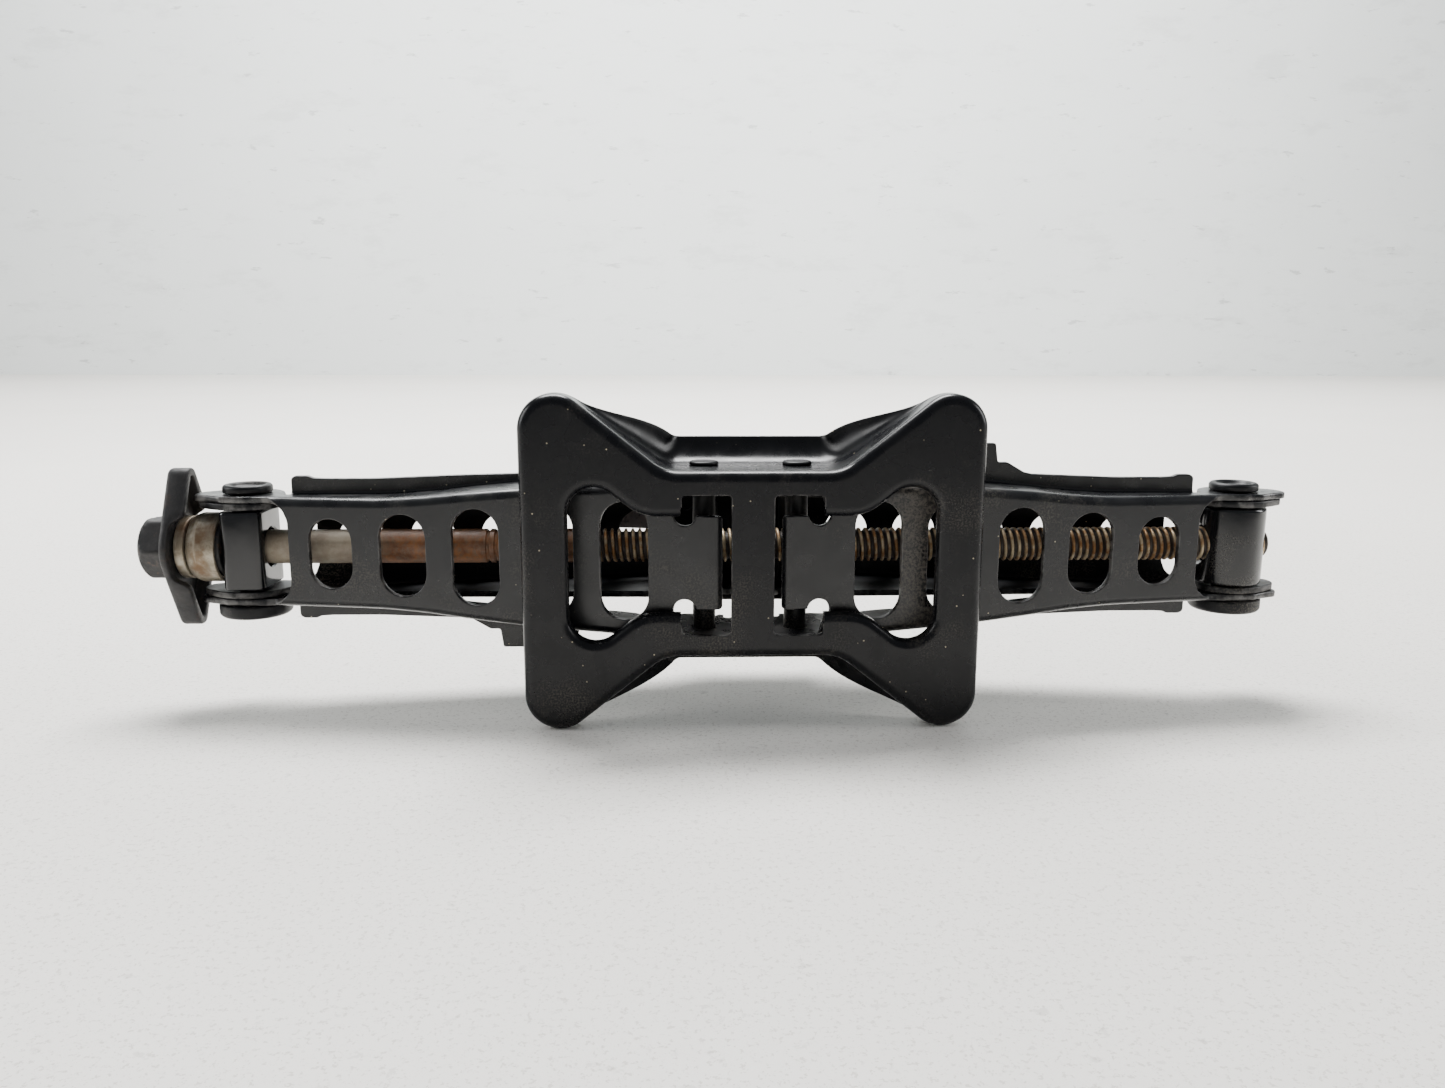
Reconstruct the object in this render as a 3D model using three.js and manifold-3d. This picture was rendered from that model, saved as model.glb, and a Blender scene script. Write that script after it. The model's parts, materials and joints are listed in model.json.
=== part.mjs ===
// A scissor jack, closed and lying on its long edge.  Millimetres.
// X runs along the lead screw, from the hex drive head to the screw's free end.
// Y is the lifting direction, from the base's bearing face to the saddle.
// Z runs across the jack.  The origin is the centre of the base's bearing face.
import * as THREE from "three";
import { mergeVertices } from "three/addons/utils/BufferGeometryUtils.js";
import Module from "manifold-3d";

const wasm = await Module();
wasm.setup();

// ---- Linkage ----
const PIVOT_X = 16.3; // half the spacing of the two pivots in the base, and in the saddle
const BASE_PIVOT_Y = 20.5;
const SCREW_Y = 39.2; // the screw's axis lies on the plane that mirrors lower arms into upper ones
const TRUNNION_X = 181.7; // half the spacing of the trunnions with the jack closed
const SADDLE_PIVOT_Y = 2 * SCREW_Y - BASE_PIVOT_Y;
const GAP = 0.3; // left between pieces that touch

// ---- Sheet metal ----
const SHEET = 2.4; // arms and saddle
const BASE_SHEET = 2.5;
const LARGE = 300; // longer than any piece that is cut

// ---- Base: a pressed pan with a narrow waist and four ears ----
const BASE_HALF_LENGTH = 78.3;
const BASE_HALF_WIDTH = 57.7;
const EAR_RADIUS = 12;
const WAIST_HALF_WIDTH = 32;
const WAIST_FILLET = 14;
const DIAGONAL = THREE.MathUtils.degToRad(38.5); // slope of the edges between waist and ears
const BASE_BEND = 3.2; // outer radius of the bend between face and flange
const EAR_FLANGE_DEPTH = 9;
const WAIST_FLANGE_DEPTH = 27.2;
const LIP_REACH = 9.3; // how far the waist's flange flares outwards
const LIP_RISE = 3.2;
const DEEP_FLANGE_X = 24; // the flange is at full depth up to here, and shallow from SHALLOW_FLANGE_X
const SHALLOW_FLANGE_X = 60;
const FLARE_FULL_X = 34;
const FLARE_END_X = 62;

// ---- Base: the two openings either side of the central bar ----
const BAR_HALF_WIDTH = 7.3;
const SLOT_END_X = 24;
const SLOT_HALF_WIDTH = 24;
const NECK_END_X = 36.5;
const NECK_HALF_WIDTH = 19.2;
const WINDOW_CORNER = { x: 53.5, z: 17.5, radius: 11.5 };
const WINDOW_LIP_DEPTH = 5;

// ---- Arms ----
const WEB_START_Y = 2.7; // the web's outer face at X = 0, if it went that far
const WEB_SLOPE = 0.142;
const FREE_EDGE_Y = 38.5; // where the flanges end, just short of the mirror plane
const TONGUE_START_X = 10;
const RELIEF = { x: 23.2, radius: 4 }; // notches beside the web's tongue
const EAR_DISC_RADIUS = 11.3; // around a trunnion
const EAR_TIP_X = 199.8;
const EAR_TIP_HALF_HEIGHT = 4.6;
const PIN_RADIUS = 4;
const RIVET_RADIUS = 5;
const LIP_THICKNESS = 2.4;

const LOWER_ARM = {
  // [X, outer half width]
  halfWidths: [[0, 28.5], [32, 28.5], [48, 26.4], [62, 25.7], [82, 24.4], [100, 22.7], [115, 21],
    [130, 20], [150, 19.9], [210, 19.9]],
  tongueHalfWidth: 16.3,
  webEndX: 164.2,
  // [centre X, half width, half height]
  holes: [[148.6, 7.75, 12.5], [122.4, 8.3, 14.65], [96.2, 8.3, 17.1], [70, 8.3, 19.2], [44, 8.3, 20.6]],
};
const UPPER_ARM = {
  halfWidths: [[0, 20], [159, 20], [165, 17.3], [210, 17.3]],
  tongueHalfWidth: 11.5,
  webEndX: 162.2,
  holes: [[146.2, 8.15, 8.8], [120, 8.15, 8.8], [93.7, 8.15, 8.8], [67.4, 8.15, 8.8], [41.1, 8.15, 8.8]],
};
// The outward lip along the lower arm's free edge, as [X, reach in Z].
const LIP_START_X = 40;
const LIP_EDGE = [[40, 28.4], [60, 28], [80, 27.3], [106, 26.6], [135, 25.4], [156.5, 25.4],
  [158.5, 26.4], [163.5, 26.4], [165, 24.5]];
// The lug on one side's lip, as [X, reach in Z].
const LUG_EDGE = [[62, 29], [64, 38], [90.8, 38], [91.8, 31], [95.4, 31], [101.7, 27.3]];

// ---- Gear sectors on the arms' inner ends ----
const GEAR_TEETH = 16; // on a full turn
const GEAR_PITCH_RADIUS = PIVOT_X;
const PRESSURE_ANGLE = THREE.MathUtils.degToRad(20);
const GEAR_TIP_RADIUS = 17.6;
const GEAR_ROOT_RADIUS = 14.5;
const GEAR_BACKLASH = 0.5; // taken off each tooth's width at the pitch circle
const SECTOR_TEETH = 5;

// ---- Trunnions ----
const TRUNNION_HALF_HEIGHT = 14.3;
const BLOCK_HALF_LENGTH = 7.4;
const BLOCK_HALF_DEPTH = 11.2;
const BLOCK_CORNER = 3;
const BLOCK_BORE_RADIUS = 7.2;
const NUT_RADIUS = 12;
const RIVET_SOCKET_DEPTH = 5.5;
const EAR_STACK = 19.9; // outer face of the lower arm's ears

// ---- Screw and drive ----
const SCREW_RADIUS = 6.25;
const SCREW_FREE_END_X = 194.5;
const SCREW_STUB_RADIUS = 4.7;
const STUB_START_X = -205.6;
const STUB_END_X = -216;
const GROOVES_X = [-95, -92];
const CUP = { radius: 12.7, left: -201.4, right: -190.6, wall: 1.5, shoulder: 3 };
const RACE = { outer: 10.8, inner: 7.2, left: -199.3, right: -189.5 };
const WASHER = { radius: 11.5, left: -205.3, right: -201.8 };
const PLATE = { left: -209, right: -206, flangeEnd: -201.2, halfHeight: 17.2, halfWidth: 34,
  cutAt: 29, wall: 3, cornerRadius: 6, openHalfWidth: 10.5 };
const HEX = { acrossFlats: 21, left: -220.4, right: -209.3, dome: 2 };

// ---- Saddle ----
const SADDLE_WALL = 20.6; // inner face of its two walls
const SADDLE_HALF_LENGTH = 31;
const SADDLE_TOP_Y = 78.4;
const SADDLE_EAR_RADIUS = 10.5;
const SADDLE_LIP_HEIGHT = 5;

// ---- Shapes ----
const point = (x, y) => new THREE.Vector2(x, y);
const outline = (pairs) => new THREE.Shape(pairs.map(([x, y]) => point(x, y)));

function arc(x, y, radius, startDegrees, endDegrees, steps) {
  const points = [];
  for (let i = 0; i <= steps; i++) {
    const angle = THREE.MathUtils.degToRad(startDegrees + ((endDegrees - startDegrees) * i) / steps);
    points.push([x + radius * Math.cos(angle), y + radius * Math.sin(angle)]);
  }
  return points;
}

function rectangle(x0, y0, x1, y1) {
  return outline([[x0, y0], [x1, y0], [x1, y1], [x0, y1]]);
}

function roundedRectangle(x, y, halfX, halfY, radius) {
  return outline([
    ...arc(x + halfX - radius, y + halfY - radius, radius, 0, 90, 5),
    ...arc(x - halfX + radius, y + halfY - radius, radius, 90, 180, 5),
    ...arc(x - halfX + radius, y - halfY + radius, radius, 180, 270, 5),
    ...arc(x + halfX - radius, y - halfY + radius, radius, 270, 360, 5),
  ]);
}

// A half outline and its reflection in the X axis, as one closed outline.
function mirrored(half) {
  return [...half, ...half.map(([x, y]) => [x, -y]).reverse()];
}

// Reads a list of [X, value] pairs as a line through them.
function valueAt(pairs, x) {
  const next = pairs.findIndex(([px]) => px >= x);
  if (next <= 0) return pairs[Math.max(next, 0)][1];
  const [x0, v0] = pairs[next - 1];
  const [x1, v1] = pairs[next];
  return v0 + ((v1 - v0) * (x - x0)) / (x1 - x0);
}

// ---- Solids ----
// A closed geometry as a solid that can be joined and cut.
function solid(geometry) {
  const bare = geometry.clone();
  bare.deleteAttribute("normal");
  bare.deleteAttribute("uv");
  const merged = mergeVertices(bare);
  return new wasm.Manifold(
    new wasm.Mesh({
      numProp: 3,
      vertProperties: merged.attributes.position.array,
      triVerts: new Uint32Array(merged.index.array),
    }),
  );
}

const join = (solids) => solids.reduce((all, one) => all.add(one));

// A shape in X and Y, drawn out along Z.
function slab(shape, z0, z1) {
  const geometry = new THREE.ExtrudeGeometry(shape, { depth: z1 - z0, bevelEnabled: false });
  return solid(geometry.translate(0, 0, z0));
}

// A shape in X and Z, drawn out along Y.
function sheet(shape, y0, y1) {
  const geometry = new THREE.ExtrudeGeometry(shape, { depth: y1 - y0, bevelEnabled: false });
  return solid(geometry.rotateX(Math.PI / 2).translate(0, y1, 0));
}

// A shape in Z and Y around the screw's axis, drawn out along X.
function bar(shape, x0, x1) {
  const geometry = new THREE.ExtrudeGeometry(shape, { depth: x1 - x0, bevelEnabled: false });
  return solid(geometry.rotateY(Math.PI / 2).translate(x0, SCREW_Y, 0));
}

// A round rod along Z.
function rod(radius, x, y, z0, z1, sides = 24) {
  const geometry = new THREE.CylinderGeometry(radius, radius, z1 - z0, sides);
  return solid(geometry.rotateX(Math.PI / 2).translate(x, y, (z0 + z1) / 2));
}

// A profile of [radius, X] pairs, from low X to high X, turned around the screw's axis.
function turned(profile, sides = 36) {
  const points = profile.map(([radius, x]) => point(radius, x));
  const geometry = new THREE.LatheGeometry(points, sides);
  return solid(geometry.rotateZ(-Math.PI / 2).translate(0, SCREW_Y, 0));
}

// A profile of [radius, Z] pairs, from low Z to high Z, turned around a line along Z.
function turnedAcross(profile, x, y, sides = 28) {
  const points = profile.map(([radius, z]) => point(radius, z));
  const geometry = new THREE.LatheGeometry(points, sides);
  return solid(geometry.rotateX(Math.PI / 2).translate(x, y, 0));
}

// A closed ring whose cross-sections are closed loops of the same number of points.
function ring(sections) {
  const count = sections[0].length;
  const indices = [];
  sections.forEach((_, i) => {
    const here = i * count;
    const there = ((i + 1) % sections.length) * count;
    for (let j = 0; j < count; j++) {
      const k = (j + 1) % count;
      indices.push(here + j, here + k, there + k, here + j, there + k, there + j);
    }
  });
  const geometry = new THREE.BufferGeometry().setFromPoints(sections.flat());
  geometry.setIndex(indices);
  return solid(geometry);
}

// ---- Base ----
// The pan's outline, anticlockwise from the middle of the right side, in X and Z.
function baseOutline() {
  const earX = BASE_HALF_LENGTH - EAR_RADIUS;
  const earZ = BASE_HALF_WIDTH - EAR_RADIUS;
  const slope = THREE.MathUtils.radToDeg(DIAGONAL);
  const tangentX = earX - EAR_RADIUS * Math.sin(DIAGONAL);
  const tangentZ = earZ + EAR_RADIUS * Math.cos(DIAGONAL);
  const cornerX = tangentX - (tangentZ - WAIST_HALF_WIDTH) / Math.tan(DIAGONAL);
  const filletX = cornerX - WAIST_FILLET * Math.tan(DIAGONAL / 2);
  const quarter = [
    [BASE_HALF_LENGTH, 0],
    [BASE_HALF_LENGTH, earZ / 2],
    ...arc(earX, earZ, EAR_RADIUS, 0, 90 + slope, 10),
    [(tangentX + cornerX) / 2 + 8, (tangentZ + WAIST_HALF_WIDTH) / 2 + 6.4],
    [(tangentX + cornerX) / 2, (tangentZ + WAIST_HALF_WIDTH) / 2],
    ...arc(filletX, WAIST_HALF_WIDTH + WAIST_FILLET, WAIST_FILLET, slope - 90, -90, 4),
    [filletX / 2, WAIST_HALF_WIDTH],
    [0, WAIST_HALF_WIDTH],
  ];
  const upper = [...quarter, ...quarter.slice(0, -1).map(([x, z]) => [-x, z]).reverse()];
  return [...upper, ...upper.slice(1, -1).map(([x, z]) => [x, -z]).reverse()];
}

// Each point of a closed anticlockwise outline with the outward normal there.
function withNormals(points) {
  return points.map(([x, z], i) => {
    const [ax, az] = points[(i + points.length - 1) % points.length];
    const [bx, bz] = points[(i + 1) % points.length];
    const length = Math.hypot(bx - ax, bz - az);
    return { x, z, nx: (bz - az) / length, nz: -(bx - ax) / length };
  });
}

// One section through the flange, as points of (outward offset, Y).
function flangeSection(x) {
  const deep = 1 - THREE.MathUtils.smoothstep(Math.abs(x), DEEP_FLANGE_X, SHALLOW_FLANGE_X);
  const flare = 1 - THREE.MathUtils.smoothstep(Math.abs(x), FLARE_FULL_X, FLARE_END_X);
  const depth = EAR_FLANGE_DEPTH + (WAIST_FLANGE_DEPTH - EAR_FLANGE_DEPTH) * deep;
  const reach = LIP_REACH * flare;
  const inner = BASE_BEND - BASE_SHEET;
  return [
    [-6, 0],
    [-BASE_BEND, 0],
    [-BASE_BEND * 0.29, BASE_BEND * 0.29],
    [0, BASE_BEND],
    [0, depth - 1],
    [reach * 0.35, depth + LIP_RISE * 0.3 * flare],
    [reach, depth + LIP_RISE * flare + 1],
    [reach - 1, depth + LIP_RISE * flare + 3.2 * flare + 1.2 * (1 - flare)],
    [reach * 0.2 - BASE_SHEET, depth + LIP_RISE * 0.5 * flare + 1.2],
    [-BASE_SHEET, depth - 0.6],
    [-BASE_SHEET, BASE_SHEET + inner],
    [-BASE_SHEET - inner, BASE_SHEET],
    [-6, BASE_SHEET],
  ];
}

// The opening on one side, -1 or 1, its edge moved outwards by grow.
function windowShape(side, grow) {
  const { x, z, radius } = WINDOW_CORNER;
  const slope = THREE.MathUtils.radToDeg(DIAGONAL);
  const neck = NECK_HALF_WIDTH + grow;
  const shoulderX = NECK_END_X - grow * Math.tan(DIAGONAL / 2);
  const half = [
    [SLOT_END_X - 1, neck],
    [shoulderX, neck],
    ...arc(x, z, radius + grow, 90 + slope, 0, 8),
  ];
  return outline(mirrored(half).map(([px, pz]) => [side * px, pz]));
}

// The rolled lip behind one opening's edge, which ends where the slot begins.
function windowLip(side) {
  const beside = rectangle(0, -LARGE, side * SLOT_END_X, LARGE);
  return sheet(windowShape(side, GAP / 10), 0, WINDOW_LIP_DEPTH).subtract(sheet(beside, -1, LARGE));
}

// One opening through the face: the raw slot, and the window inside its lip.
function baseOpening(side) {
  const middle = (side * (BAR_HALF_WIDTH + SLOT_END_X)) / 2;
  const slot = roundedRectangle(middle, 0, (SLOT_END_X - BAR_HALF_WIDTH) / 2, SLOT_HALF_WIDTH, 1.5);
  return sheet(windowShape(side, -BASE_SHEET), -1, LARGE).add(sheet(slot, -1, LARGE));
}

function base() {
  const edge = withNormals(baseOutline());
  const sections = edge.map(({ x, z, nx, nz }) =>
    flangeSection(x).map(([out, y]) => new THREE.Vector3(x + nx * out, y, z + nz * out)),
  );
  const face = outline(edge.map(({ x, z, nx, nz }) => [x - 5 * nx, z - 5 * nz]));
  const pan = join([ring(sections), sheet(face, 0, BASE_SHEET), windowLip(-1), windowLip(1)]);
  const pinHoles = [-PIVOT_X, PIVOT_X].map((x) => rod(PIN_RADIUS + GAP, x, BASE_PIVOT_Y, -LARGE, LARGE));
  return pan.subtract(join([baseOpening(-1), baseOpening(1), ...pinHoles]));
}

// ---- Gears ----
// One tooth's outline around its pivot, pointing along the given angle.
function tooth(centreX, centreY, degrees) {
  const baseRadius = GEAR_PITCH_RADIUS * Math.cos(PRESSURE_ANGLE);
  const involute = (radius) => {
    const angle = Math.acos(Math.min(1, baseRadius / radius));
    return Math.tan(angle) - angle;
  };
  const halfAtPitch = Math.PI / (2 * GEAR_TEETH) - GEAR_BACKLASH / (2 * GEAR_PITCH_RADIUS);
  const radii = [GEAR_ROOT_RADIUS - 1, baseRadius, 16, 16.8, GEAR_TIP_RADIUS];
  const flank = radii.map((radius) => [
    radius,
    halfAtPitch + involute(GEAR_PITCH_RADIUS) - involute(Math.max(radius, baseRadius)),
  ]);
  const middle = THREE.MathUtils.degToRad(degrees);
  const place = ([radius, half]) => [
    centreX + radius * Math.cos(middle + half),
    centreY + radius * Math.sin(middle + half),
  ];
  const other = flank.map(([radius, half]) => [radius, -half]).reverse();
  return outline([...flank, ...other].map(place));
}

// The root disc and teeth of one flange; first is the lowest tooth's angle.
function gearSector(first, z0, z1) {
  const pitch = 360 / GEAR_TEETH;
  const parts = [rod(GEAR_ROOT_RADIUS, PIVOT_X, BASE_PIVOT_Y, z0, z1, 48)];
  for (let i = 0; i < SECTOR_TEETH; i++)
    parts.push(slab(tooth(PIVOT_X, BASE_PIVOT_Y, first - i * pitch), z0, z1));
  return join(parts);
}

// ---- Arms ----
const webY = (x) => WEB_START_Y + WEB_SLOPE * x;

// The arm's plan outline, moved inwards by inset.
function armPlan(arm, inset) {
  return outline(mirrored(arm.halfWidths.map(([x, half]) => [x, half - inset])));
}

// The arm seen from the side, from the inner pivot to the trunnion's ear tip.
function armSide(arm) {
  return outline([
    [PIVOT_X, webY(PIVOT_X)],
    [arm.webEndX, webY(arm.webEndX)],
    [TRUNNION_X - 9, SCREW_Y - EAR_DISC_RADIUS + 0.6],
    [TRUNNION_X + 4, SCREW_Y - EAR_DISC_RADIUS],
    [EAR_TIP_X, SCREW_Y - EAR_TIP_HALF_HEIGHT],
    [EAR_TIP_X, SCREW_Y + EAR_TIP_HALF_HEIGHT],
    [TRUNNION_X + 4, SCREW_Y + EAR_DISC_RADIUS],
    [TRUNNION_X - 5, SCREW_Y + EAR_DISC_RADIUS],
    [TRUNNION_X - 11, SCREW_Y + EAR_DISC_RADIUS - 5.5],
    [TRUNNION_X - 14, FREE_EDGE_Y],
    [PIVOT_X, FREE_EDGE_Y],
  ]);
}

// The space between the flanges, above the web's inner face.
function channelSpace(arm) {
  const floorY = (x) => webY(x) + SHEET * Math.hypot(1, WEB_SLOPE);
  const side = outline([[-50, floorY(-50)], [250, floorY(250)], [250, LARGE], [-50, LARGE]]);
  return slab(side, -LARGE, LARGE).intersect(sheet(armPlan(arm, SHEET), -LARGE, LARGE));
}

function stadium(x, halfWidth, halfHeight) {
  const straight = halfHeight - halfWidth;
  return outline([...arc(x, straight, halfWidth, 0, 180, 10), ...arc(x, -straight, halfWidth, 180, 360, 10)]);
}

function armCuts(arm) {
  const innerHalf = arm.halfWidths[0][1] - SHEET;
  const endHalf = arm.halfWidths.at(-1)[1] - SHEET;
  const cuts = arm.holes.map(([x, halfWidth, halfHeight]) =>
    sheet(stadium(x, halfWidth, halfHeight), -LARGE, webY(x) + 5),
  );
  for (const side of [-1, 1]) {
    const [low, high] = [side * arm.tongueHalfWidth, side * innerHalf].sort((a, b) => a - b);
    cuts.push(sheet(rectangle(-LARGE, low, RELIEF.x, high), -LARGE, FREE_EDGE_Y));
    cuts.push(sheet(outline(arc(RELIEF.x, side * (arm.tongueHalfWidth + 0.5), RELIEF.radius, 0, 337.5, 15)),
      -LARGE, webY(RELIEF.x) + 5));
  }
  cuts.push(rod(PIN_RADIUS + GAP, PIVOT_X, BASE_PIVOT_Y, -LARGE, LARGE));
  cuts.push(rod(RIVET_RADIUS + GAP, TRUNNION_X, SCREW_Y, -LARGE, LARGE));
  const end = arm.webEndX;
  const mouth = outline([
    ...arc(end + 5, endHalf - 5, 5, 90, 180, 4),
    ...arc(end + 5, 5 - endHalf, 5, 180, 270, 4),
    [LARGE, -endHalf],
    [LARGE, endHalf],
  ]);
  cuts.push(sheet(mouth, -LARGE, LARGE));
  return cuts;
}

// The arm as one stamping, lying to the right with its web towards the base.
function arm(kind, extras = []) {
  const outer = kind.halfWidths[0][1];
  const inner = outer - SHEET;
  const tongue = outline([
    [TONGUE_START_X, webY(TONGUE_START_X)],
    [RELIEF.x + 2, webY(RELIEF.x + 2)],
    [RELIEF.x + 2, webY(RELIEF.x + 2) + SHEET],
    [TONGUE_START_X, webY(TONGUE_START_X) + SHEET],
  ]);
  const shell = slab(armSide(kind), -LARGE, LARGE).intersect(sheet(armPlan(kind, 0), -LARGE, LARGE));
  const tongueSlab = slab(tongue, -kind.tongueHalfWidth, kind.tongueHalfWidth);
  const channel = armCuts(kind).reduce(
    (piece, cut) => piece.subtract(cut),
    join([shell.subtract(channelSpace(kind)), tongueSlab, ...extras,
      gearSector(180 + 360 / GEAR_TEETH, inner, outer),
      gearSector(180 + 180 / GEAR_TEETH, -outer, -inner)]),
  );
  return channel;
}

// The lips along the lower arm's free edges, with the lug on one side.
function lips() {
  const inner = (x) => valueAt(LOWER_ARM.halfWidths, x) - 1;
  const along = LIP_EDGE.map(([x]) => x);
  const root = [...along].reverse().map((x) => [x, inner(x)]);
  const strip = outline([...LIP_EDGE, ...root]);
  const lug = outline([...LUG_EDGE, [101.7, inner(101.7)], [62, inner(62)]]);
  const top = sheet(strip, FREE_EDGE_Y - LIP_THICKNESS, FREE_EDGE_Y);
  const raised = sheet(lug, FREE_EDGE_Y - LIP_THICKNESS, FREE_EDGE_Y);
  const bottom = sheet(outline([...LIP_EDGE, ...root].map(([x, z]) => [x, -z])),
    FREE_EDGE_Y - LIP_THICKNESS, FREE_EDGE_Y);
  return [top, raised, bottom];
}

// ---- Trunnions ----
function rivetSockets(x) {
  const foot = TRUNNION_HALF_HEIGHT - RIVET_SOCKET_DEPTH;
  return rod(RIVET_RADIUS + GAP, x, SCREW_Y, foot, LARGE).add(rod(RIVET_RADIUS + GAP, x, SCREW_Y, -LARGE, -foot));
}

function trunnionBlock() {
  const plan = roundedRectangle(-TRUNNION_X, SCREW_Y, BLOCK_HALF_LENGTH, BLOCK_HALF_DEPTH, BLOCK_CORNER);
  return slab(plan, -TRUNNION_HALF_HEIGHT, TRUNNION_HALF_HEIGHT)
    .subtract(turned([[0, -LARGE], [BLOCK_BORE_RADIUS, -LARGE], [BLOCK_BORE_RADIUS, 0], [0, 0]]))
    .subtract(rivetSockets(-TRUNNION_X));
}

function trunnionNut() {
  const bore = SCREW_RADIUS + GAP;
  return rod(NUT_RADIUS, TRUNNION_X, SCREW_Y, -TRUNNION_HALF_HEIGHT, TRUNNION_HALF_HEIGHT, 48)
    .subtract(turned([[0, 0], [bore, 0], [bore, LARGE], [0, LARGE]]))
    .subtract(rivetSockets(TRUNNION_X));
}

// The rivet through the ears above the screw, with a dished head.
function upperRivet(x) {
  const foot = TRUNNION_HALF_HEIGHT - RIVET_SOCKET_DEPTH + GAP;
  const head = EAR_STACK + GAP;
  return turnedAcross([[0, foot], [RIVET_RADIUS, foot], [RIVET_RADIUS, head], [8.6, head],
    [8.6, head + 2.2], [7.8, head + 3], [6.4, head + 3], [5.2, head + 1.6], [0, head + 1.6]], x, SCREW_Y);
}

// The rivet below the screw, with a wide flat head.
function lowerRivet(x) {
  const foot = TRUNNION_HALF_HEIGHT - RIVET_SOCKET_DEPTH + GAP;
  const head = EAR_STACK + GAP;
  return turnedAcross([[0, -head - 3.4], [6, -head - 3.4], [7.5, -head - 4.8], [11.6, -head - 4.8],
    [12.65, -head - 3.8], [12.65, -head], [RIVET_RADIUS, -head], [RIVET_RADIUS, -foot], [0, -foot]], x, SCREW_Y);
}

// A plain pin with a thin head outside each wall.
function pivotPin(x, y, wallFace) {
  const head = wallFace + GAP;
  const half = [[PIN_RADIUS, head], [5.15, head], [5.15, head + 0.8], [4.6, head + 1.2], [0, head + 1.2]];
  return turnedAcross([...half.map(([r, z]) => [r, -z]).reverse(), ...half], x, y, 20);
}

// ---- Saddle ----
function saddle() {
  const outer = SADDLE_WALL + SHEET;
  const wall = outline([
    [-SADDLE_HALF_LENGTH, SADDLE_TOP_Y],
    [-SADDLE_HALF_LENGTH, SADDLE_TOP_Y - 8],
    ...arc(-PIVOT_X, SADDLE_PIVOT_Y, SADDLE_EAR_RADIUS, 180, 270, 6),
    ...arc(PIVOT_X, SADDLE_PIVOT_Y, SADDLE_EAR_RADIUS, 270, 360, 6),
    [SADDLE_HALF_LENGTH, SADDLE_TOP_Y - 8],
    [SADDLE_HALF_LENGTH, SADDLE_TOP_Y],
  ]);
  const plan = roundedRectangle(0, 0, SADDLE_HALF_LENGTH, outer, 3);
  const parts = [
    slab(wall, SADDLE_WALL, outer),
    slab(wall, -outer, -SADDLE_WALL),
    sheet(plan, SADDLE_TOP_Y - SHEET, SADDLE_TOP_Y),
  ];
  for (const side of [-1, 1]) {
    const end = side * SADDLE_HALF_LENGTH;
    const [low, high] = [end, end - side * SHEET].sort((a, b) => a - b);
    parts.push(sheet(rectangle(low, -outer + 6, high, outer - 6), SADDLE_TOP_Y - 1, SADDLE_TOP_Y + SADDLE_LIP_HEIGHT));
  }
  const holes = [-PIVOT_X, PIVOT_X].map((x) => rod(PIN_RADIUS + GAP, x, SADDLE_PIVOT_Y, -LARGE, LARGE));
  return join(parts).subtract(join(holes));
}

// ---- Screw and drive ----
function leadScrew() {
  const groove = (x) => [[SCREW_RADIUS, x - 0.6], [SCREW_RADIUS - 0.6, x - 0.3], [SCREW_RADIUS - 0.6, x + 0.3],
    [SCREW_RADIUS, x + 0.6]];
  return turned([
    [0, STUB_END_X],
    [SCREW_STUB_RADIUS, STUB_END_X],
    [SCREW_STUB_RADIUS, STUB_START_X],
    [SCREW_RADIUS, STUB_START_X],
    ...GROOVES_X.flatMap(groove),
    [SCREW_RADIUS, SCREW_FREE_END_X - 1.5],
    [SCREW_RADIUS - 1.5, SCREW_FREE_END_X],
    [0, SCREW_FREE_END_X],
  ]);
}

function bearingCup() {
  const bore = SCREW_RADIUS + GAP;
  const { radius, left, right, wall, shoulder } = CUP;
  const round = arc(radius - shoulder, left + shoulder, shoulder, 270, 360, 4);
  return turned([
    [bore, left],
    ...round,
    [radius, right],
    [radius - wall, right],
    [radius - wall, left + wall],
    [bore, left + wall],
    [bore, left],
  ]);
}

function thrustRace() {
  const { outer, inner, left, right } = RACE;
  return turned([[inner, left], [outer, left], [outer, right], [inner, right], [inner, left]]);
}

function driveWasher() {
  const bore = SCREW_RADIUS + GAP;
  const { radius, left, right } = WASHER;
  return turned([[bore, left], [radius, left], [radius, right], [bore, right], [bore, left]]);
}

// A rhombus in Z and Y with its long corners cut off and its short corners rounded.
function rhombus(scale) {
  const { halfHeight, halfWidth, cutAt, cornerRadius } = PLATE;
  const high = halfHeight * scale;
  const wide = halfWidth * scale;
  const end = cutAt - PLATE.wall * (scale < 1 ? 1 : 0);
  const lean = THREE.MathUtils.radToDeg(Math.atan2(high, wide));
  const centre = high - cornerRadius * scale / Math.cos(THREE.MathUtils.degToRad(lean));
  const right = [
    [end, high * (1 - end / wide)],
    ...arc(0, centre, cornerRadius * scale, 90 - lean, 90 + lean, 5),
    [-end, high * (1 - end / wide)],
  ];
  return outline([...right, ...right.map(([z, y]) => [-z, -y])]);
}

function drivePlate() {
  const { left, right, flangeEnd, halfHeight, halfWidth, wall, openHalfWidth } = PLATE;
  const reach = (halfHeight * halfWidth) / Math.hypot(halfHeight, halfWidth); // centre to edge
  const flange = bar(rhombus(1), left, flangeEnd)
    .subtract(bar(rhombus((reach - wall) / reach), right, LARGE))
    .subtract(bar(rectangle(-openHalfWidth, -LARGE, openHalfWidth, LARGE), right, LARGE));
  const bore = SCREW_STUB_RADIUS + GAP;
  return flange.subtract(turned([[0, -LARGE], [bore, -LARGE], [bore, 0], [0, 0]]));
}

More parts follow.
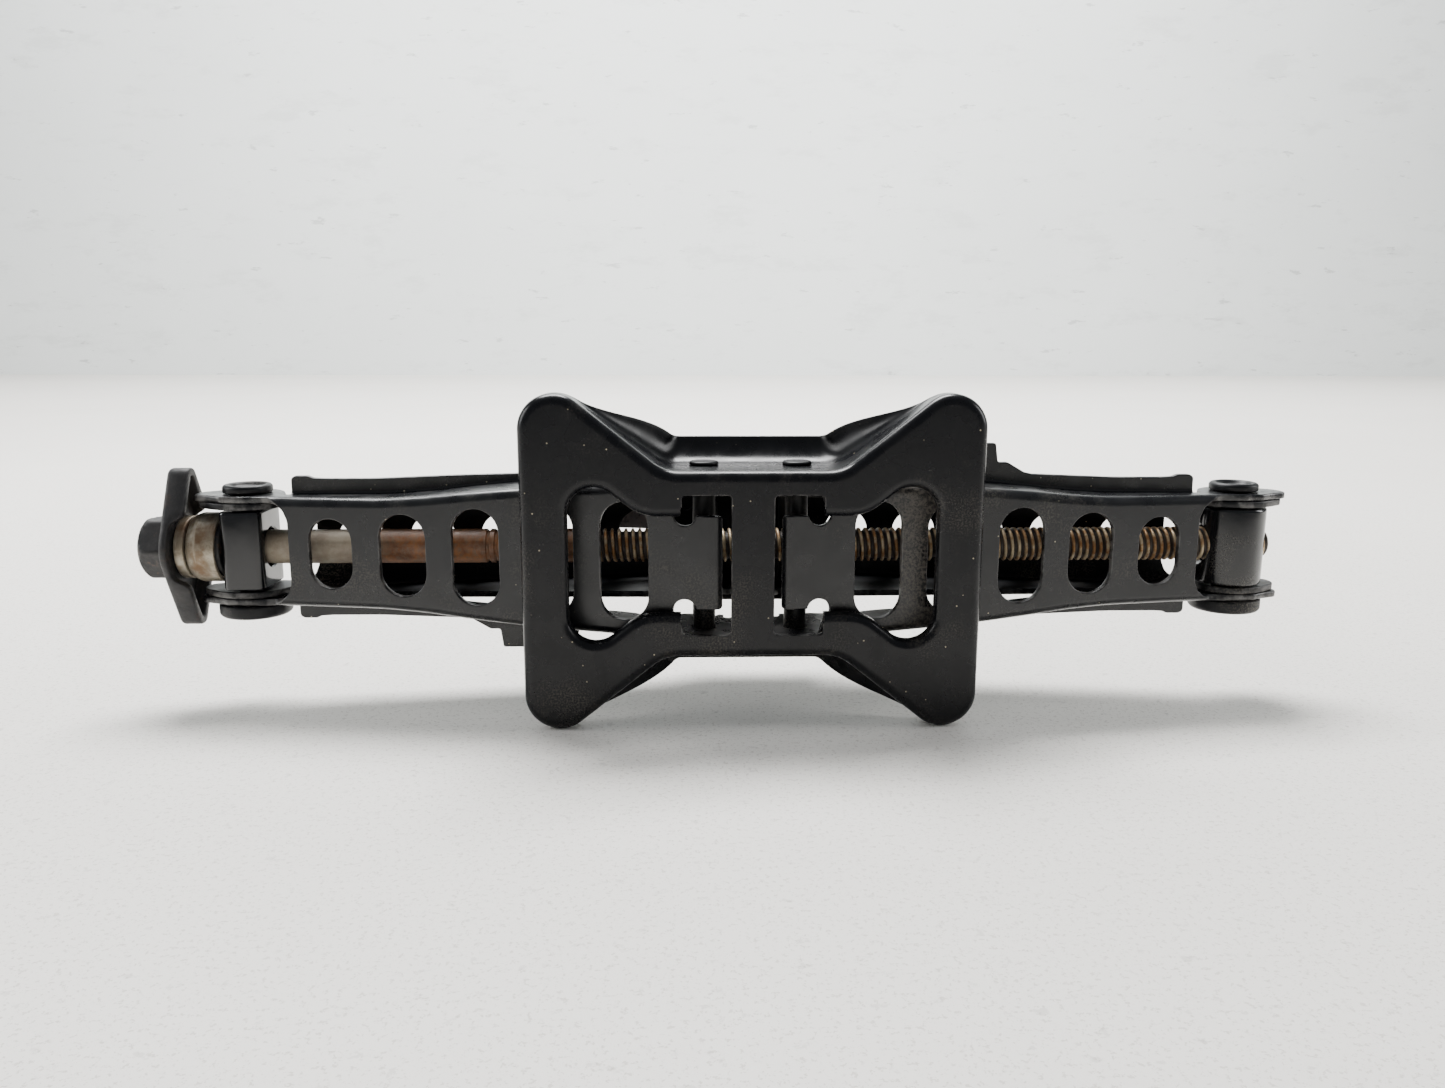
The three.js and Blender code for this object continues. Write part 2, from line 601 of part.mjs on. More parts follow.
function hexHead() {
  const { acrossFlats, left, right, dome } = HEX;
  const corner = acrossFlats / Math.sqrt(3);
  const prism = bar(outline(arc(0, 0, corner, 90, 390, 5)), left, right);
  const envelope = turned([[0, left], [acrossFlats / 2 - 2.5, left], [corner, left + dome + 0.6], [corner, right],
    [0, right]]);
  const bore = SCREW_STUB_RADIUS + GAP;
  return prism.intersect(envelope)
    .subtract(turned([[0, STUB_END_X - GAP], [bore, STUB_END_X - GAP], [bore, 0], [0, 0]]));
}

// ---- Assembly ----
const coated = { color: 0x14161a, roughness: 0.42, metalness: 0.3 };
const rusty = { color: 0x6b4a32, roughness: 0.75, metalness: 0.6 };
const zinc = { color: 0x8d8068, roughness: 0.55, metalness: 0.7 };
const darkIron = { color: 0x2e2e32, roughness: 0.7, metalness: 0.5 };

function mesh(name, piece, finish) {
  const { vertProperties, triVerts } = piece.getMesh();
  const geometry = new THREE.BufferGeometry()
    .setAttribute("position", new THREE.BufferAttribute(vertProperties, 3))
    .setIndex(new THREE.BufferAttribute(triVerts, 1));
  geometry.computeVertexNormals();
  const made = new THREE.Mesh(geometry, new THREE.MeshStandardMaterial(finish));
  made.name = name;
  return made;
}

// Turns a piece by half a turn, about an axis through the origin, and lifts it.
function turnedOver(made, axis, y = 0) {
  made.rotation[axis] = Math.PI;
  made.position.y = y;
  return made;
}

const jack = new THREE.Group();
jack.add(mesh("base_plate", base(), coated));
jack.add(mesh("saddle", saddle(), coated));

const lowerArm = arm(LOWER_ARM, lips());
const upperArm = arm(UPPER_ARM);
jack.add(mesh("lower_right_arm", lowerArm, coated));
jack.add(turnedOver(mesh("lower_left_arm", lowerArm, coated), "y"));
jack.add(turnedOver(mesh("upper_right_arm", upperArm, coated), "x", 2 * SCREW_Y));
jack.add(turnedOver(mesh("upper_left_arm", upperArm, coated), "z", 2 * SCREW_Y));

for (const [side, x] of [["left", -1], ["right", 1]]) {
  const saddleWall = SADDLE_WALL + SHEET;
  jack.add(mesh(`base_${side}_pin`, pivotPin(x * PIVOT_X, BASE_PIVOT_Y, WAIST_HALF_WIDTH), coated));
  jack.add(mesh(`saddle_${side}_pin`, pivotPin(x * PIVOT_X, SADDLE_PIVOT_Y, saddleWall), coated));
  jack.add(mesh(`${side}_trunnion_upper_rivet`, upperRivet(x * TRUNNION_X), coated));
  jack.add(mesh(`${side}_trunnion_lower_rivet`, lowerRivet(x * TRUNNION_X), coated));
}
jack.add(mesh("left_trunnion_block", trunnionBlock(), coated));
jack.add(mesh("right_trunnion_nut", trunnionNut(), coated));

jack.add(mesh("lead_screw", leadScrew(), rusty));
jack.add(mesh("bearing_cup", bearingCup(), zinc));
jack.add(mesh("thrust_bearing_race", thrustRace(), zinc));
jack.add(mesh("drive_washer", driveWasher(), zinc));
jack.add(mesh("drive_plate", drivePlate(), darkIron));
jack.add(mesh("hex_drive_head", hexHead(), darkIron));

export default jack;
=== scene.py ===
"""A scissor jack, closed and lying on its long edge: its looks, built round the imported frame.

Lengths are in millimetres until a mesh is made, and metres after that.
X runs along the screw, Y is the lifting direction, Z runs across the jack and up.
"""
import json
import math

import bmesh
import bpy
import numpy as np
from mathutils import Matrix, Vector
from mathutils.geometry import delaunay_2d_cdt


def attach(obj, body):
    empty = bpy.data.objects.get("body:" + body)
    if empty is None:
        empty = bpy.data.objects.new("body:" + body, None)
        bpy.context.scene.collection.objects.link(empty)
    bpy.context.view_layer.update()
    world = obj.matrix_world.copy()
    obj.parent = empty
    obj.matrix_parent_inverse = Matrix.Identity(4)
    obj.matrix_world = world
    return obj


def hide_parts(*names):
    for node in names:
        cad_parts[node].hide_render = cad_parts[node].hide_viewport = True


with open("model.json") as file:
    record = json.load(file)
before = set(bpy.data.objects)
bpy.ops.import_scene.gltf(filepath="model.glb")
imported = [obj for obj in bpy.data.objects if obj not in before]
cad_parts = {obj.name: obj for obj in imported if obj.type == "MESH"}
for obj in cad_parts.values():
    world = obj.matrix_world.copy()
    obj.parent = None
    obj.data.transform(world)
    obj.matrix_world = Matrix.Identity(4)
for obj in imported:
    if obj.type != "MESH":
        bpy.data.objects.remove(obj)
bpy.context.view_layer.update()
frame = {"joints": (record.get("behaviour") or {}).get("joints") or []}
MM = 0.001
QUARTER = math.pi / 2

# ---- Places taken from the frame ----
joint_at = {j["name"]: [c / MM for c in j["pos_m"]] for j in frame["joints"]}
PIVOT_X, BASE_PIVOT_Y = joint_at["lower_right_fold"][:2]
TRUNNION_X, SCREW_Y = joint_at["right_trunnion_turn"][:2]
SADDLE_PIVOT_Y = joint_at["saddle_turn"][1]


# ---- Camera and stage ----
FLOOR_Z = -0.0577  # the lower ears of the base stand on it
WALL_Y = 3.3


def place_camera():
    data = bpy.data.cameras.new("camera")
    data.lens = 27.49
    data.sensor_width = 36.0
    camera = bpy.data.objects.new("camera", data)
    bpy.context.scene.collection.objects.link(camera)
    right = Vector((0.99951, -0.03116, 0.00226))
    up = Vector((0.00363, 0.18748, 0.98226))
    back = Vector((-0.03103, -0.98177, 0.18750))
    turned = Matrix((right, up, back)).transposed().to_4x4()
    camera.matrix_world = Matrix.Translation((-0.02186, -0.36340, 0.07715)) @ turned
    bpy.context.scene.camera = camera


place_camera()


# ---- Outlines ----
def arc(x, y, radius, start, end, steps):
    """Points along an arc, its angles in degrees."""
    turn = [math.radians(start + (end - start) * i / steps) for i in range(steps + 1)]
    return [(x + radius * math.cos(a), y + radius * math.sin(a)) for a in turn]


def rounded(points, radius, steps=4, closed=True):
    """A line with its real corners rounded off; gentle bends stay as they are."""
    done = []
    count = len(points)
    for i, corner in enumerate(points):
        c = np.array(corner, float)
        if not closed and i in (0, count - 1):
            done.append(tuple(c))
            continue
        a = np.array(points[i - 1], float) - c
        b = np.array(points[(i + 1) % count], float) - c
        long_a, long_b = np.linalg.norm(a), np.linalg.norm(b)
        if a @ b < -0.95 * long_a * long_b:
            done.append(tuple(c))
            continue
        reach = min(radius, 0.45 * long_a, 0.45 * long_b)
        a, b = c + a / long_a * reach, c + b / long_b * reach
        for k in range(steps + 1):
            t = k / steps
            done.append(tuple((1 - t) ** 2 * a + 2 * t * (1 - t) * c + t * t * b))
    return done


def spaced(points, step, closed=True):
    """The same line with no stretch longer than step."""
    done = []
    last = len(points) if closed else len(points) - 1
    for i in range(last):
        a, b = np.array(points[i], float), np.array(points[(i + 1) % len(points)], float)
        length = np.linalg.norm(b - a)
        if length < 1e-4:
            continue
        pieces = max(1, math.ceil(length / step))
        done += [tuple(a + (b - a) * k / pieces) for k in range(pieces)]
    return done if closed else done + [tuple(points[-1])]


def outward(points, closed=True):
    """Unit normals of an anticlockwise line, on its outside."""
    p = np.array(points, float)
    tangent = np.roll(p, -1, 0) - np.roll(p, 1, 0)
    if not closed:
        tangent[0], tangent[-1] = p[1] - p[0], p[-1] - p[-2]
    normal = np.stack([tangent[:, 1], -tangent[:, 0]], 1)
    return normal / np.linalg.norm(normal, axis=1, keepdims=True)


def anticlockwise(points):
    p = np.array(points, float)
    area = np.sum(p[:, 0] * np.roll(p[:, 1], -1) - np.roll(p[:, 0], -1) * p[:, 1])
    return list(points) if area > 0 else list(reversed(points))


def inside(points, loop):
    """Which points lie inside a closed loop."""
    p, a = np.array(points, float), np.array(loop, float)
    hit = np.zeros(len(p), bool)
    for (ax, ay), (bx, by) in zip(a, np.roll(a, -1, 0)):
        if ay != by:
            crosses = (ay > p[:, 1]) != (by > p[:, 1])
            hit ^= crosses & (p[:, 0] < (bx - ax) * (p[:, 1] - ay) / (by - ay) + ax)
    return hit


def smoothstep(x, low, high):
    t = np.clip((np.asarray(x, float) - low) / (high - low), 0, 1)
    return t * t * (3 - 2 * t)


def eased(pairs, x, reach):
    """Reads [X, value] pairs as a line through them, with its corners eased over reach."""
    xs, values = zip(*pairs)
    shifts = np.linspace(-reach, reach, 7)
    return np.mean([np.interp(np.asarray(x, float) + s, xs, values) for s in shifts], axis=0)


# ---- Meshes ----
class Skin:
    """Vertices and faces of one piece. Each vertex has a value that marks edge wear and a painted highlight,
    and some an exact normal.
    """

    def __init__(self):
        self.points, self.faces, self.wear_and_highlight, self.exact = [], [], [], {}

    def add(self, points, wear_and_highlight=0.0, normals=None):
        start = len(self.points)
        self.points += [tuple(p) for p in points]
        ids = list(range(start, len(self.points)))
        self.wear_and_highlight += [wear_and_highlight] * len(ids)
        if normals is not None:
            self.exact.update(zip(ids, map(tuple, normals)))
        return ids

    def band(self, a, b, closed=True):
        """Faces between two rows of vertices."""
        count = len(a) if closed else len(a) - 1
        for i in range(count):
            j = (i + 1) % len(a)
            self.faces.append((a[i], a[j], b[j], b[i]))

    def bands(self, rows, closed=True):
        for a, b in zip(rows, rows[1:]):
            self.band(a, b, closed)

    def cap(self, row):
        self.faces.append(tuple(row))

    def trimmed(self):
        """A copy without the vertices that no face uses."""
        used = sorted({i for face in self.faces for i in face})
        new = {old: number for number, old in enumerate(used)}
        copy = Skin()
        copy.points = [self.points[i] for i in used]
        copy.wear_and_highlight = [self.wear_and_highlight[i] for i in used]
        copy.faces = [tuple(new[i] for i in face) for face in self.faces]
        copy.exact = {new[i]: normal for i, normal in self.exact.items() if i in new}
        return copy

    def fill(self, loops, flat, more=(), more_ids=()):
        """Triangles between an outer loop and the loops inside it, on a flat map of the vertices."""
        ids = [i for loop in loops for i in loop] + list(more_ids)
        places = [Vector(flat[i]) for loop in loops for i in loop] + [Vector(p) for p in more]
        edges, start = [], 0
        for loop in loops:
            edges += [(start + k, start + (k + 1) % len(loop)) for k in range(len(loop))]
            start += len(loop)
        made = delaunay_2d_cdt(places, edges, [], 0, 1e-7)
        corners = np.array([made[0][v] for f in made[2] for v in f]).reshape(-1, 3, 2)
        middles = corners.mean(axis=1)
        keep = inside(middles, [flat[i] for i in loops[0]])
        for hole in loops[1:]:
            keep &= ~inside(middles, [flat[i] for i in hole])
        for f, wanted in zip(made[2], keep):
            if wanted:
                self.faces.append(tuple(ids[made[3][v][0]] for v in f))


def make(name, skin, body, slot, material, replaces=(), turn=None, crease=50):
    """Turns a skin into a piece of the scene that rides on a CAD body."""
    skin = skin.trimmed()
    mesh = bpy.data.meshes.new(name)
    points = np.array(skin.points, float)
    if turn is not None:
        points = points @ turn[:3, :3].T + turn[:3, 3]
    mesh.from_pydata((points * MM).tolist(), [], skin.faces)
    # The mark of sheared edges, which the coats lighten as edge wear and as a painted highlight.
    worn = mesh.attributes.new("wear_and_highlight", "FLOAT", "POINT")
    worn.data.foreach_set("value", np.array(skin.wear_and_highlight, np.float32))
    work = bmesh.new()
    work.from_mesh(mesh)
    if not skin.exact:
        bmesh.ops.remove_doubles(work, verts=work.verts, dist=2e-6)
        bmesh.ops.dissolve_degenerate(work, edges=work.edges, dist=1e-7)
    bmesh.ops.recalc_face_normals(work, faces=work.faces)
    work.to_mesh(mesh)
    work.free()
    mesh.materials.append(material)
    mesh.shade_smooth()
    mesh.set_sharp_from_angle(angle=math.radians(crease))
    if skin.exact:
        set_exact_normals(mesh, skin.exact, np.eye(3) if turn is None else turn[:3, :3])
    piece = bpy.data.objects.new(name, mesh)
    bpy.context.scene.collection.objects.link(piece)
    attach(piece, body)
    if replaces:
        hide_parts(*replaces)
    return piece


def set_exact_normals(mesh, exact, turn):
    """Gives some vertices the normal worked out for them, so flat faces shade as flat."""
    normals = np.zeros(3 * len(mesh.loops), np.float32)
    mesh.corner_normals.foreach_get("vector", normals)
    normals = normals.reshape(-1, 3)
    corners = np.zeros(len(mesh.loops), np.int32)
    mesh.loops.foreach_get("vertex_index", corners)
    known = np.zeros((len(mesh.vertices), 3))
    known[list(exact)] = np.array(list(exact.values())) @ turn.T
    wanted = np.isin(corners, list(exact))
    normals[wanted] = known[corners[wanted]]
    mesh.normals_split_custom_set(normals.tolist())


# ---- Pressed sheets: an unrolled outline, laid on a bent surface ----
EDGE_ROUND = 0.45  # how far a sheared edge is rounded
GEAR_END_X = 20.0  # the gear teeth lie between here and the middle


def rim_steps(thickness):
    """Inset and depth of the rows that go round a sheared edge."""
    r, k = EDGE_ROUND, 0.29 * EDGE_ROUND
    return [(r, 0), (k, k), (0, r), (0, thickness - r), (k, thickness - k), (r, thickness)]


def on_surface(surface, places):
    """Positions on the sheet's outer face, and the outward normals there."""
    x, v = np.array(places, float).T
    step = 0.02
    along = surface(x + step, v) - surface(x - step, v)
    across = surface(x, v + step) - surface(x, v - step)
    normal = np.cross(along, across)
    return surface(x, v), normal / np.linalg.norm(normal, axis=1, keepdims=True)


def room_for_rim(loop, inward, crisp_from):
    """Share of the edge's rounding each vertex has room for; almost none on the gear's fine teeth."""
    share = np.ones(len(loop))
    before = np.roll(loop, -1, 0) - loop
    for _ in range(10):
        after = np.roll(loop + EDGE_ROUND * share[:, None] * inward, -1, 0)
        after -= loop + EDGE_ROUND * share[:, None] * inward
        folded = np.sum(before * after, axis=1) < 0.3 * np.sum(before * before, axis=1)
        share[folded | np.roll(folded, 1)] *= 0.65
    toothed = (loop[:, 0] < GEAR_END_X) & (np.abs(loop[:, 1]) > crisp_from)
    share[toothed] = 0.05
    return share[:, None]


def pressed(surface, loops, grid, thickness, crisp_from=1e9):
    """A closed sheet. The first loop is its outline, the others are holes, all on the unrolled map."""
    skin, flat, fronts, backs = Skin(), {}, [], []
    for number, loop in enumerate(loops):
        loop = np.array(anticlockwise(loop))
        inward = outward(loop) * (-1 if number == 0 else 1)
        inward = inward * room_for_rim(loop, inward, crisp_from if number == 0 else 1e9)
        rows = []
        for inset, depth in rim_steps(thickness):
            places = loop + inset * inward
            p, n = on_surface(surface, places)
            last = depth in (0, thickness)
            normals = (n if depth == 0 else -n) if last else None
            # The rounded edge's middle rows carry the mark that the coats lighten as edge wear and as a
            # painted highlight.
            rows.append(skin.add(p - depth * n, 0.0 if last else 1.0, normals))
            flat.update(zip(rows[-1], map(tuple, places)))
        skin.bands(rows)
        fronts.append(rows[0])
        backs.append(rows[-1])
    grid = np.array(grid, float)
    keep = inside(grid, loops[0])
    for loop in loops:
        gap = np.linalg.norm(grid[:, None] - np.array(loop)[None], axis=2).min(axis=1)
        keep &= gap > 1.1
    for loop in loops[1:]:
        keep &= ~inside(grid, loop)
    grid = grid[keep]
    p, n = on_surface(surface, grid)
    skin.fill(fronts, flat, grid, skin.add(p, normals=n))
    skin.fill(backs, flat, grid, skin.add(p - thickness * n, normals=-n))
    return skin


# ---- Arms ----
SHEET = 2.4
BEND = 3.4  # outer radius of the bends along an arm
WEB_START_Y, WEB_SLOPE = 2.7, 0.142
FREE_EDGE_Y = 38.5
TONGUE_TIP_X, CURL_X, CURL_RADIUS = 9.4, 14.5, 6.0
NOTCH_X, NOTCH_RADIUS = 23.2, 4.0
LIP_FOOT_Y, LIP_BEND = 35.1, 1.0
LIP_FROM_X, LIP_TO_X = 41.0, 165.0
GEAR_ROOT, GEAR_TEETH, SECTOR_TEETH = 14.5, 16, 5
TOOTH_FLANK = [(14.5, 5.6), (15.32, 5.6), (16.0, 5.1), (16.8, 4.0), (17.6, 2.7)]  # radius, half angle


class ArmShape:
    """One kind of arm's sizes, and the way from its unrolled map to its place."""

    def __init__(self, widths, tongue, web_end, holes, lip=None, lug=None):
        self.widths, self.tongue, self.web_end, self.holes = widths, tongue, web_end, holes
        self.lip, self.lug = lip, lug

    def flat(self, x):
        """Half the width of the web's flat part."""
        return eased(self.widths, x, 4) - BEND

    def web(self, x, on_flange=True):
        """Y of the web's outer face, which falls away beside the ears and the gear."""
        x = np.asarray(x, float)
        drop = 0.02 * np.maximum(x - 166, 0) ** 2
        root = 0.05 * np.maximum(NOTCH_X - x, 0) ** 2
        return WEB_START_Y + WEB_SLOPE * x - drop - np.where(on_flange, root, 0)

    def side(self, x, y):
        """The map point of (X, Y) on the flange."""
        height = y - float(self.web(x))
        if height < BEND:
            return x, float(self.flat(x)) + BEND * math.acos(1 - max(height, 0) / BEND)
        return x, float(self.flat(x)) + BEND * QUARTER + height - BEND

    def on_lip(self, x, z):
        """The map point of the lip's edge that reaches out to z."""
        out = z - float(self.flat(x)) - BEND
        foot = self.side(x, LIP_FOOT_Y)[1]
        if out < LIP_BEND:
            return x, foot + LIP_BEND * math.acos(1 - max(out, 0.2) / LIP_BEND)
        return x, foot + LIP_BEND * QUARTER + out - LIP_BEND

    def surface(self, x, v):
        way, s = np.sign(v), np.abs(v)
        flat = self.flat(x)
        beside = s > self.tongue + 3
        turn = np.clip((s - flat) / BEND, 0, QUARTER)
        down = np.maximum(s - flat - BEND * QUARTER, 0)
        curl = np.where(beside, 0, np.maximum(CURL_X - x, 0) / CURL_RADIUS)
        x_there = np.where(curl > 0, CURL_X - CURL_RADIUS * np.sin(curl), x)
        z = np.minimum(s, flat) + BEND * np.sin(turn)
        y = self.web(x_there, beside) + BEND * (1 - np.cos(turn)) + down
        y = y + CURL_RADIUS * (1 - np.cos(curl))
        if self.lip:
            lipped = (x > LIP_FROM_X - 1.5) & (x < LIP_TO_X + 1.2)
            over = np.where(lipped, np.maximum(y - LIP_FOOT_Y, 0), 0)
            turn = np.minimum(over / LIP_BEND, QUARTER)
            y = y - over + LIP_BEND * np.sin(turn)
            z = z + LIP_BEND * (1 - np.cos(turn)) + np.maximum(over - LIP_BEND * QUARTER, 0)
        return np.stack([x_there, y, way * z], 1)

    def gear(self, first):
        """The toothed end of a flange in X and Y, from below the pivot round to the free edge."""
        pitch = 360 / GEAR_TEETH

        def polar(radius, degrees):
            turn = math.radians(degrees)
            return PIVOT_X + radius * math.cos(turn), BASE_PIVOT_Y + radius * math.sin(turn)

        points = arc(PIVOT_X, BASE_PIVOT_Y, GEAR_ROOT, 293, first + 10, 8)
        for i in range(SECTOR_TEETH):
            middle = first - i * pitch
            points += [polar(r, middle + half) for r, half in TOOTH_FLANK]
            points += [polar(r, middle - half) for r, half in reversed(TOOTH_FLANK)]
        return points + [(PIVOT_X + 0.6, 35.2), (PIVOT_X + 1.2, 37.4), (PIVOT_X + 2.6, FREE_EDGE_Y)]

    def half(self, way):
        """Half the unrolled outline, from the tongue's tip to the middle of the web's end."""
        tip, tongue = TONGUE_TIP_X, self.tongue
        points = [(tip, 0), *arc(tip + 1.5, tongue - 1.5, 1.5, 180, 90, 4)]
        points += arc(NOTCH_X, tongue + 0.5, NOTCH_RADIUS, 187, 425, 18)
        points.append((NOTCH_X, float(self.flat(NOTCH_X)) + 1.2))
        points += [self.side(x, y) for x, y in self.gear(202.5 if way > 0 else 191.25)]
        if self.lip:
            points += [self.side(38, FREE_EDGE_Y), self.side(38, 34.9), self.side(LIP_FROM_X, 34.9)]
            lug = self.lug if way > 0 else []
            last = lug[-1][0] if lug else 0
            ahead = np.arange(LIP_FROM_X, lug[0][0] if lug else LIP_FROM_X + 1, 4)
            after = np.arange(max(last + 3, LIP_FROM_X + 4), 156, 4)
            reach = [(x, float(eased(self.lip, x, 3))) for x in ahead]
            reach += lug + [(x, float(eased(self.lip, x, 3))) for x in after]
            reach += [(157.2, 25.6), (158.8, 26.4), (163.6, 26.4), (LIP_TO_X, 25.4)]
            points += [self.on_lip(x, z) for x, z in reach]
            points += [self.side(LIP_TO_X, 34.9), self.side(167.4, 34.9)]
        else:
            points.append(self.side(165.5, FREE_EDGE_Y))
        ear = [(168.4, 40), (171, 46), (176.5, 50.2), (183, 50.6), (188.0, 49.3), (197.9, 43.2),
               (199.8, 39.2), (199.4, 34.5), (188, 28.9), (181.7, 27.9), (176, 28.4)]
        points += [self.side(x, y) for x, y in rounded(ear, 3, 4, closed=False)]
        flat, end = float(self.flat(168)), self.web_end
        points += [(171, flat + BEND * 1.1), (end + 3.4, flat + 0.8), (end + 1.2, flat - 1.2)]
        points += [(end - 0.3, flat - 5), (end - 0.3, 0)]
        return points

    def loops(self):
        upper = self.half(1)
        lower = [(x, -v) for x, v in reversed(self.half(-1)[1:-1])]
        outline = spaced(rounded(anticlockwise(upper + lower), 0.8, 3), 1.0)
        holes = []
        for x, half_width, half_height in self.holes:
            straight = half_height - half_width
            holes.append(spaced(arc(x, straight, half_width, 0, 180, 24)
                                + arc(x, -straight, half_width, 180, 360, 24), 1.0))
        for way in (1, -1):
            for centre_x, centre_y, radius in ((PIVOT_X, BASE_PIVOT_Y, 4.3), (TRUNNION_X, SCREW_Y, 5.3)):
                ring = [self.side(x, y) for x, y in arc(centre_x, centre_y, radius, 0, 345, 23)]
                holes.append([(x, way * v) for x, v in ring])
        return [outline, *holes]

    def grid(self):
        """Map points inside the outline, in rows that follow the bends."""
        points = []
        for x in np.concatenate([np.arange(9.9, CURL_X, 0.8), np.arange(15.5, 199, 1.9)]):
            flat, foot = float(self.flat(x)), self.side(x, LIP_FOOT_Y)[1]
            s = [flat * k / 6 for k in range(1, 7)]
            s += [flat + BEND * QUARTER * k / 6 for k in range(1, 7)]
            s += list(np.linspace(flat + BEND * QUARTER, foot, 7)[1:])
            s += [foot + LIP_BEND * QUARTER * k / 3 for k in range(1, 4)]
            s += [foot + 3.5, foot + 6.0, foot + 8.5, foot + 11.5, foot + 14.5]
            points += [(x, 0.0)] + [(x, way * d) for d in s for way in (1, -1)]
        return points

    def skin(self):
        return pressed(self.surface, self.loops(), self.grid(), SHEET, self.tongue + 12)


lower_shape = ArmShape(
    widths=[[0, 28.5], [32, 28.5], [48, 26.4], [62, 25.7], [82, 24.4], [100, 22.7], [115, 21],
            [130, 20], [150, 19.9], [210, 19.9]],
    tongue=16.3, web_end=164.2,
    holes=[[148.6, 7.75, 12.5], [122.4, 8.3, 14.65], [96.2, 8.3, 17.1], [70, 8.3, 19.2],
           [44, 8.3, 20.6]],
    lip=[[40, 28.4], [60, 28], [80, 27.3], [106, 26.6], [135, 25.4], [165, 25.4]],
    lug=[(62, 29), (64, 38), (90.8, 38), (91.8, 31), (95.4, 31), (101.7, 27.3)],
)
upper_shape = ArmShape(
    widths=[[0, 20], [159, 20], [165, 17.3], [210, 17.3]],
    tongue=11.5, web_end=162.2,
    holes=[[x, 8.15, 8.8] for x in (146.2, 120, 93.7, 67.4, 41.1)],
)
TWIN_Y = 2 * SCREW_Y  # an upper arm is the stamping turned over at this height


def half_turn(axis, lift=0.0):
    """Half a turn about an axis through the origin, then a lift."""
    turn = np.array(Matrix.Rotation(math.pi, 4, axis))
    turn[1, 3] = lift
    return turn


# ---- Base ----
BASE_SHEET = 2.5
BASE_BEND = 3.4
ROLL_BEND, ROLL_DEPTH = 3.0, 5.0
HALF_LENGTH, HALF_WIDTH, EAR_RADIUS = 78.3, 57.7, 12.0
WAIST_HALF, WAIST_FILLET = 32.0, 14.0
SLOPE = 38.5  # degrees, of the edges between waist and ears
EAR_DEPTH, WAIST_DEPTH = 9.0, 27.2
FLARE_REACH, FLARE_RISE = 9.3, 3.2
BAR_HALF, SLOT_END_X, SLOT_HALF = 7.3, 24.0, 24.0
NECK_HALF = 16.7
WINDOW_X, WINDOW_Z, WINDOW_RADIUS = 53.5, 17.5, 9.0


def mirror_round(quarter):
    """A quarter outline from +X to +Y, repeated in the other three quarters."""
    half = quarter + [(-x, y) for x, y in reversed(quarter[:-1])]
    return half + [(x, -y) for x, y in reversed(half[1:-1])]


def base_outline():
    slope = math.radians(SLOPE)
    ear_x, ear_z = HALF_LENGTH - EAR_RADIUS, HALF_WIDTH - EAR_RADIUS
    tangent_x, tangent_z = ear_x - EAR_RADIUS * math.sin(slope), ear_z + EAR_RADIUS * math.cos(slope)
    corner_x = tangent_x - (tangent_z - WAIST_HALF) / math.tan(slope)
    fillet_x = corner_x - WAIST_FILLET * math.tan(slope / 2)
    quarter = [(HALF_LENGTH, 0), *arc(ear_x, ear_z, EAR_RADIUS, 0, 90 + SLOPE, 26)]
    quarter += arc(fillet_x, WAIST_HALF + WAIST_FILLET, WAIST_FILLET, SLOPE - 90, -90, 12)
    quarter.append((0, WAIST_HALF))
    return spaced(mirror_round(quarter), 1.6)


def flange_section(x):
    """A section through the pan's wall at x: rows of (offset outwards, Y) on its outer face."""
    deep = 1 - float(smoothstep(abs(x), 24, 60))
    flare = 1 - float(smoothstep(abs(x), 34, 62))
    depth = EAR_DEPTH + (WAIST_DEPTH - EAR_DEPTH) * deep
    bend = [(-BASE_BEND - 0.4, 0.0)]
    bend += [(-BASE_BEND + BASE_BEND * math.sin(a), BASE_BEND - BASE_BEND * math.cos(a))
             for a in np.linspace(0, QUARTER, 9)]
    a = np.array([0, BASE_BEND + 0.3])
    b = np.array([0, depth + 0.2 + 0.8 * flare])
    c = np.array([FLARE_REACH * flare, depth + 1 + FLARE_RISE * flare])
    start = np.array([0, max(BASE_BEND + 0.3, b[1] - 8 * flare - 1)])
    wall = [tuple(a + (start - a) * k / 4) for k in range(5)]
    curve = [tuple((1 - t) ** 2 * start + 2 * t * (1 - t) * b + t * t * c) for t in np.linspace(0, 1, 10)[1:]]
    return bend + wall + curve


def thickened(line, thickness):
    """An open section line as a closed one: out along the line, round its sheared edge, and back."""
    line = np.array(line)
    normal = outward(line, closed=False)
    ahead = line[-1] - line[-2]
    ahead /= np.linalg.norm(ahead)
    rows = [tuple(p) for p in line[:-1]]
    for inset, depth in rim_steps(thickness):
        rows.append(tuple(line[-1] - inset * ahead - depth * normal[-1]))
    back = line - thickness * normal
    return rows + [tuple(p) for p in back[-2::-1]]


def roll_section():
    """A section through the rolled lip of a window: (offset into the sheet, Y)."""
    bend = [(ROLL_BEND + 0.4, 0.0)]
    bend += [(ROLL_BEND - ROLL_BEND * math.sin(a), ROLL_BEND - ROLL_BEND * math.cos(a))
             for a in np.linspace(0, QUARTER, 8)]
    return thickened([(-x, y) for x, y in bend + [(0.0, ROLL_DEPTH)]], BASE_SHEET)


def window_path(side):
    """The rolled edge of one window, from the slot's upper corner round to its lower one."""
    slope = math.radians(SLOPE)
    corner = np.array([WINDOW_X, WINDOW_Z])
    start = corner + WINDOW_RADIUS * np.array([-math.sin(slope), math.cos(slope)])
    neck = (start[0] - (start[1] - NECK_HALF) / math.tan(slope), NECK_HALF)
    bent = rounded([(SLOT_END_X + EDGE_ROUND, NECK_HALF), neck, tuple(start)], 9, 9, closed=False)
    half = bent[:-1] + arc(WINDOW_X, WINDOW_Z, WINDOW_RADIUS, 90 + SLOPE, 0, 24)
    path = half + [(x, -z) for x, z in reversed(half)]
    path = spaced(path, 1.2, closed=False)
    return [(side * x, z) for x, z in path]


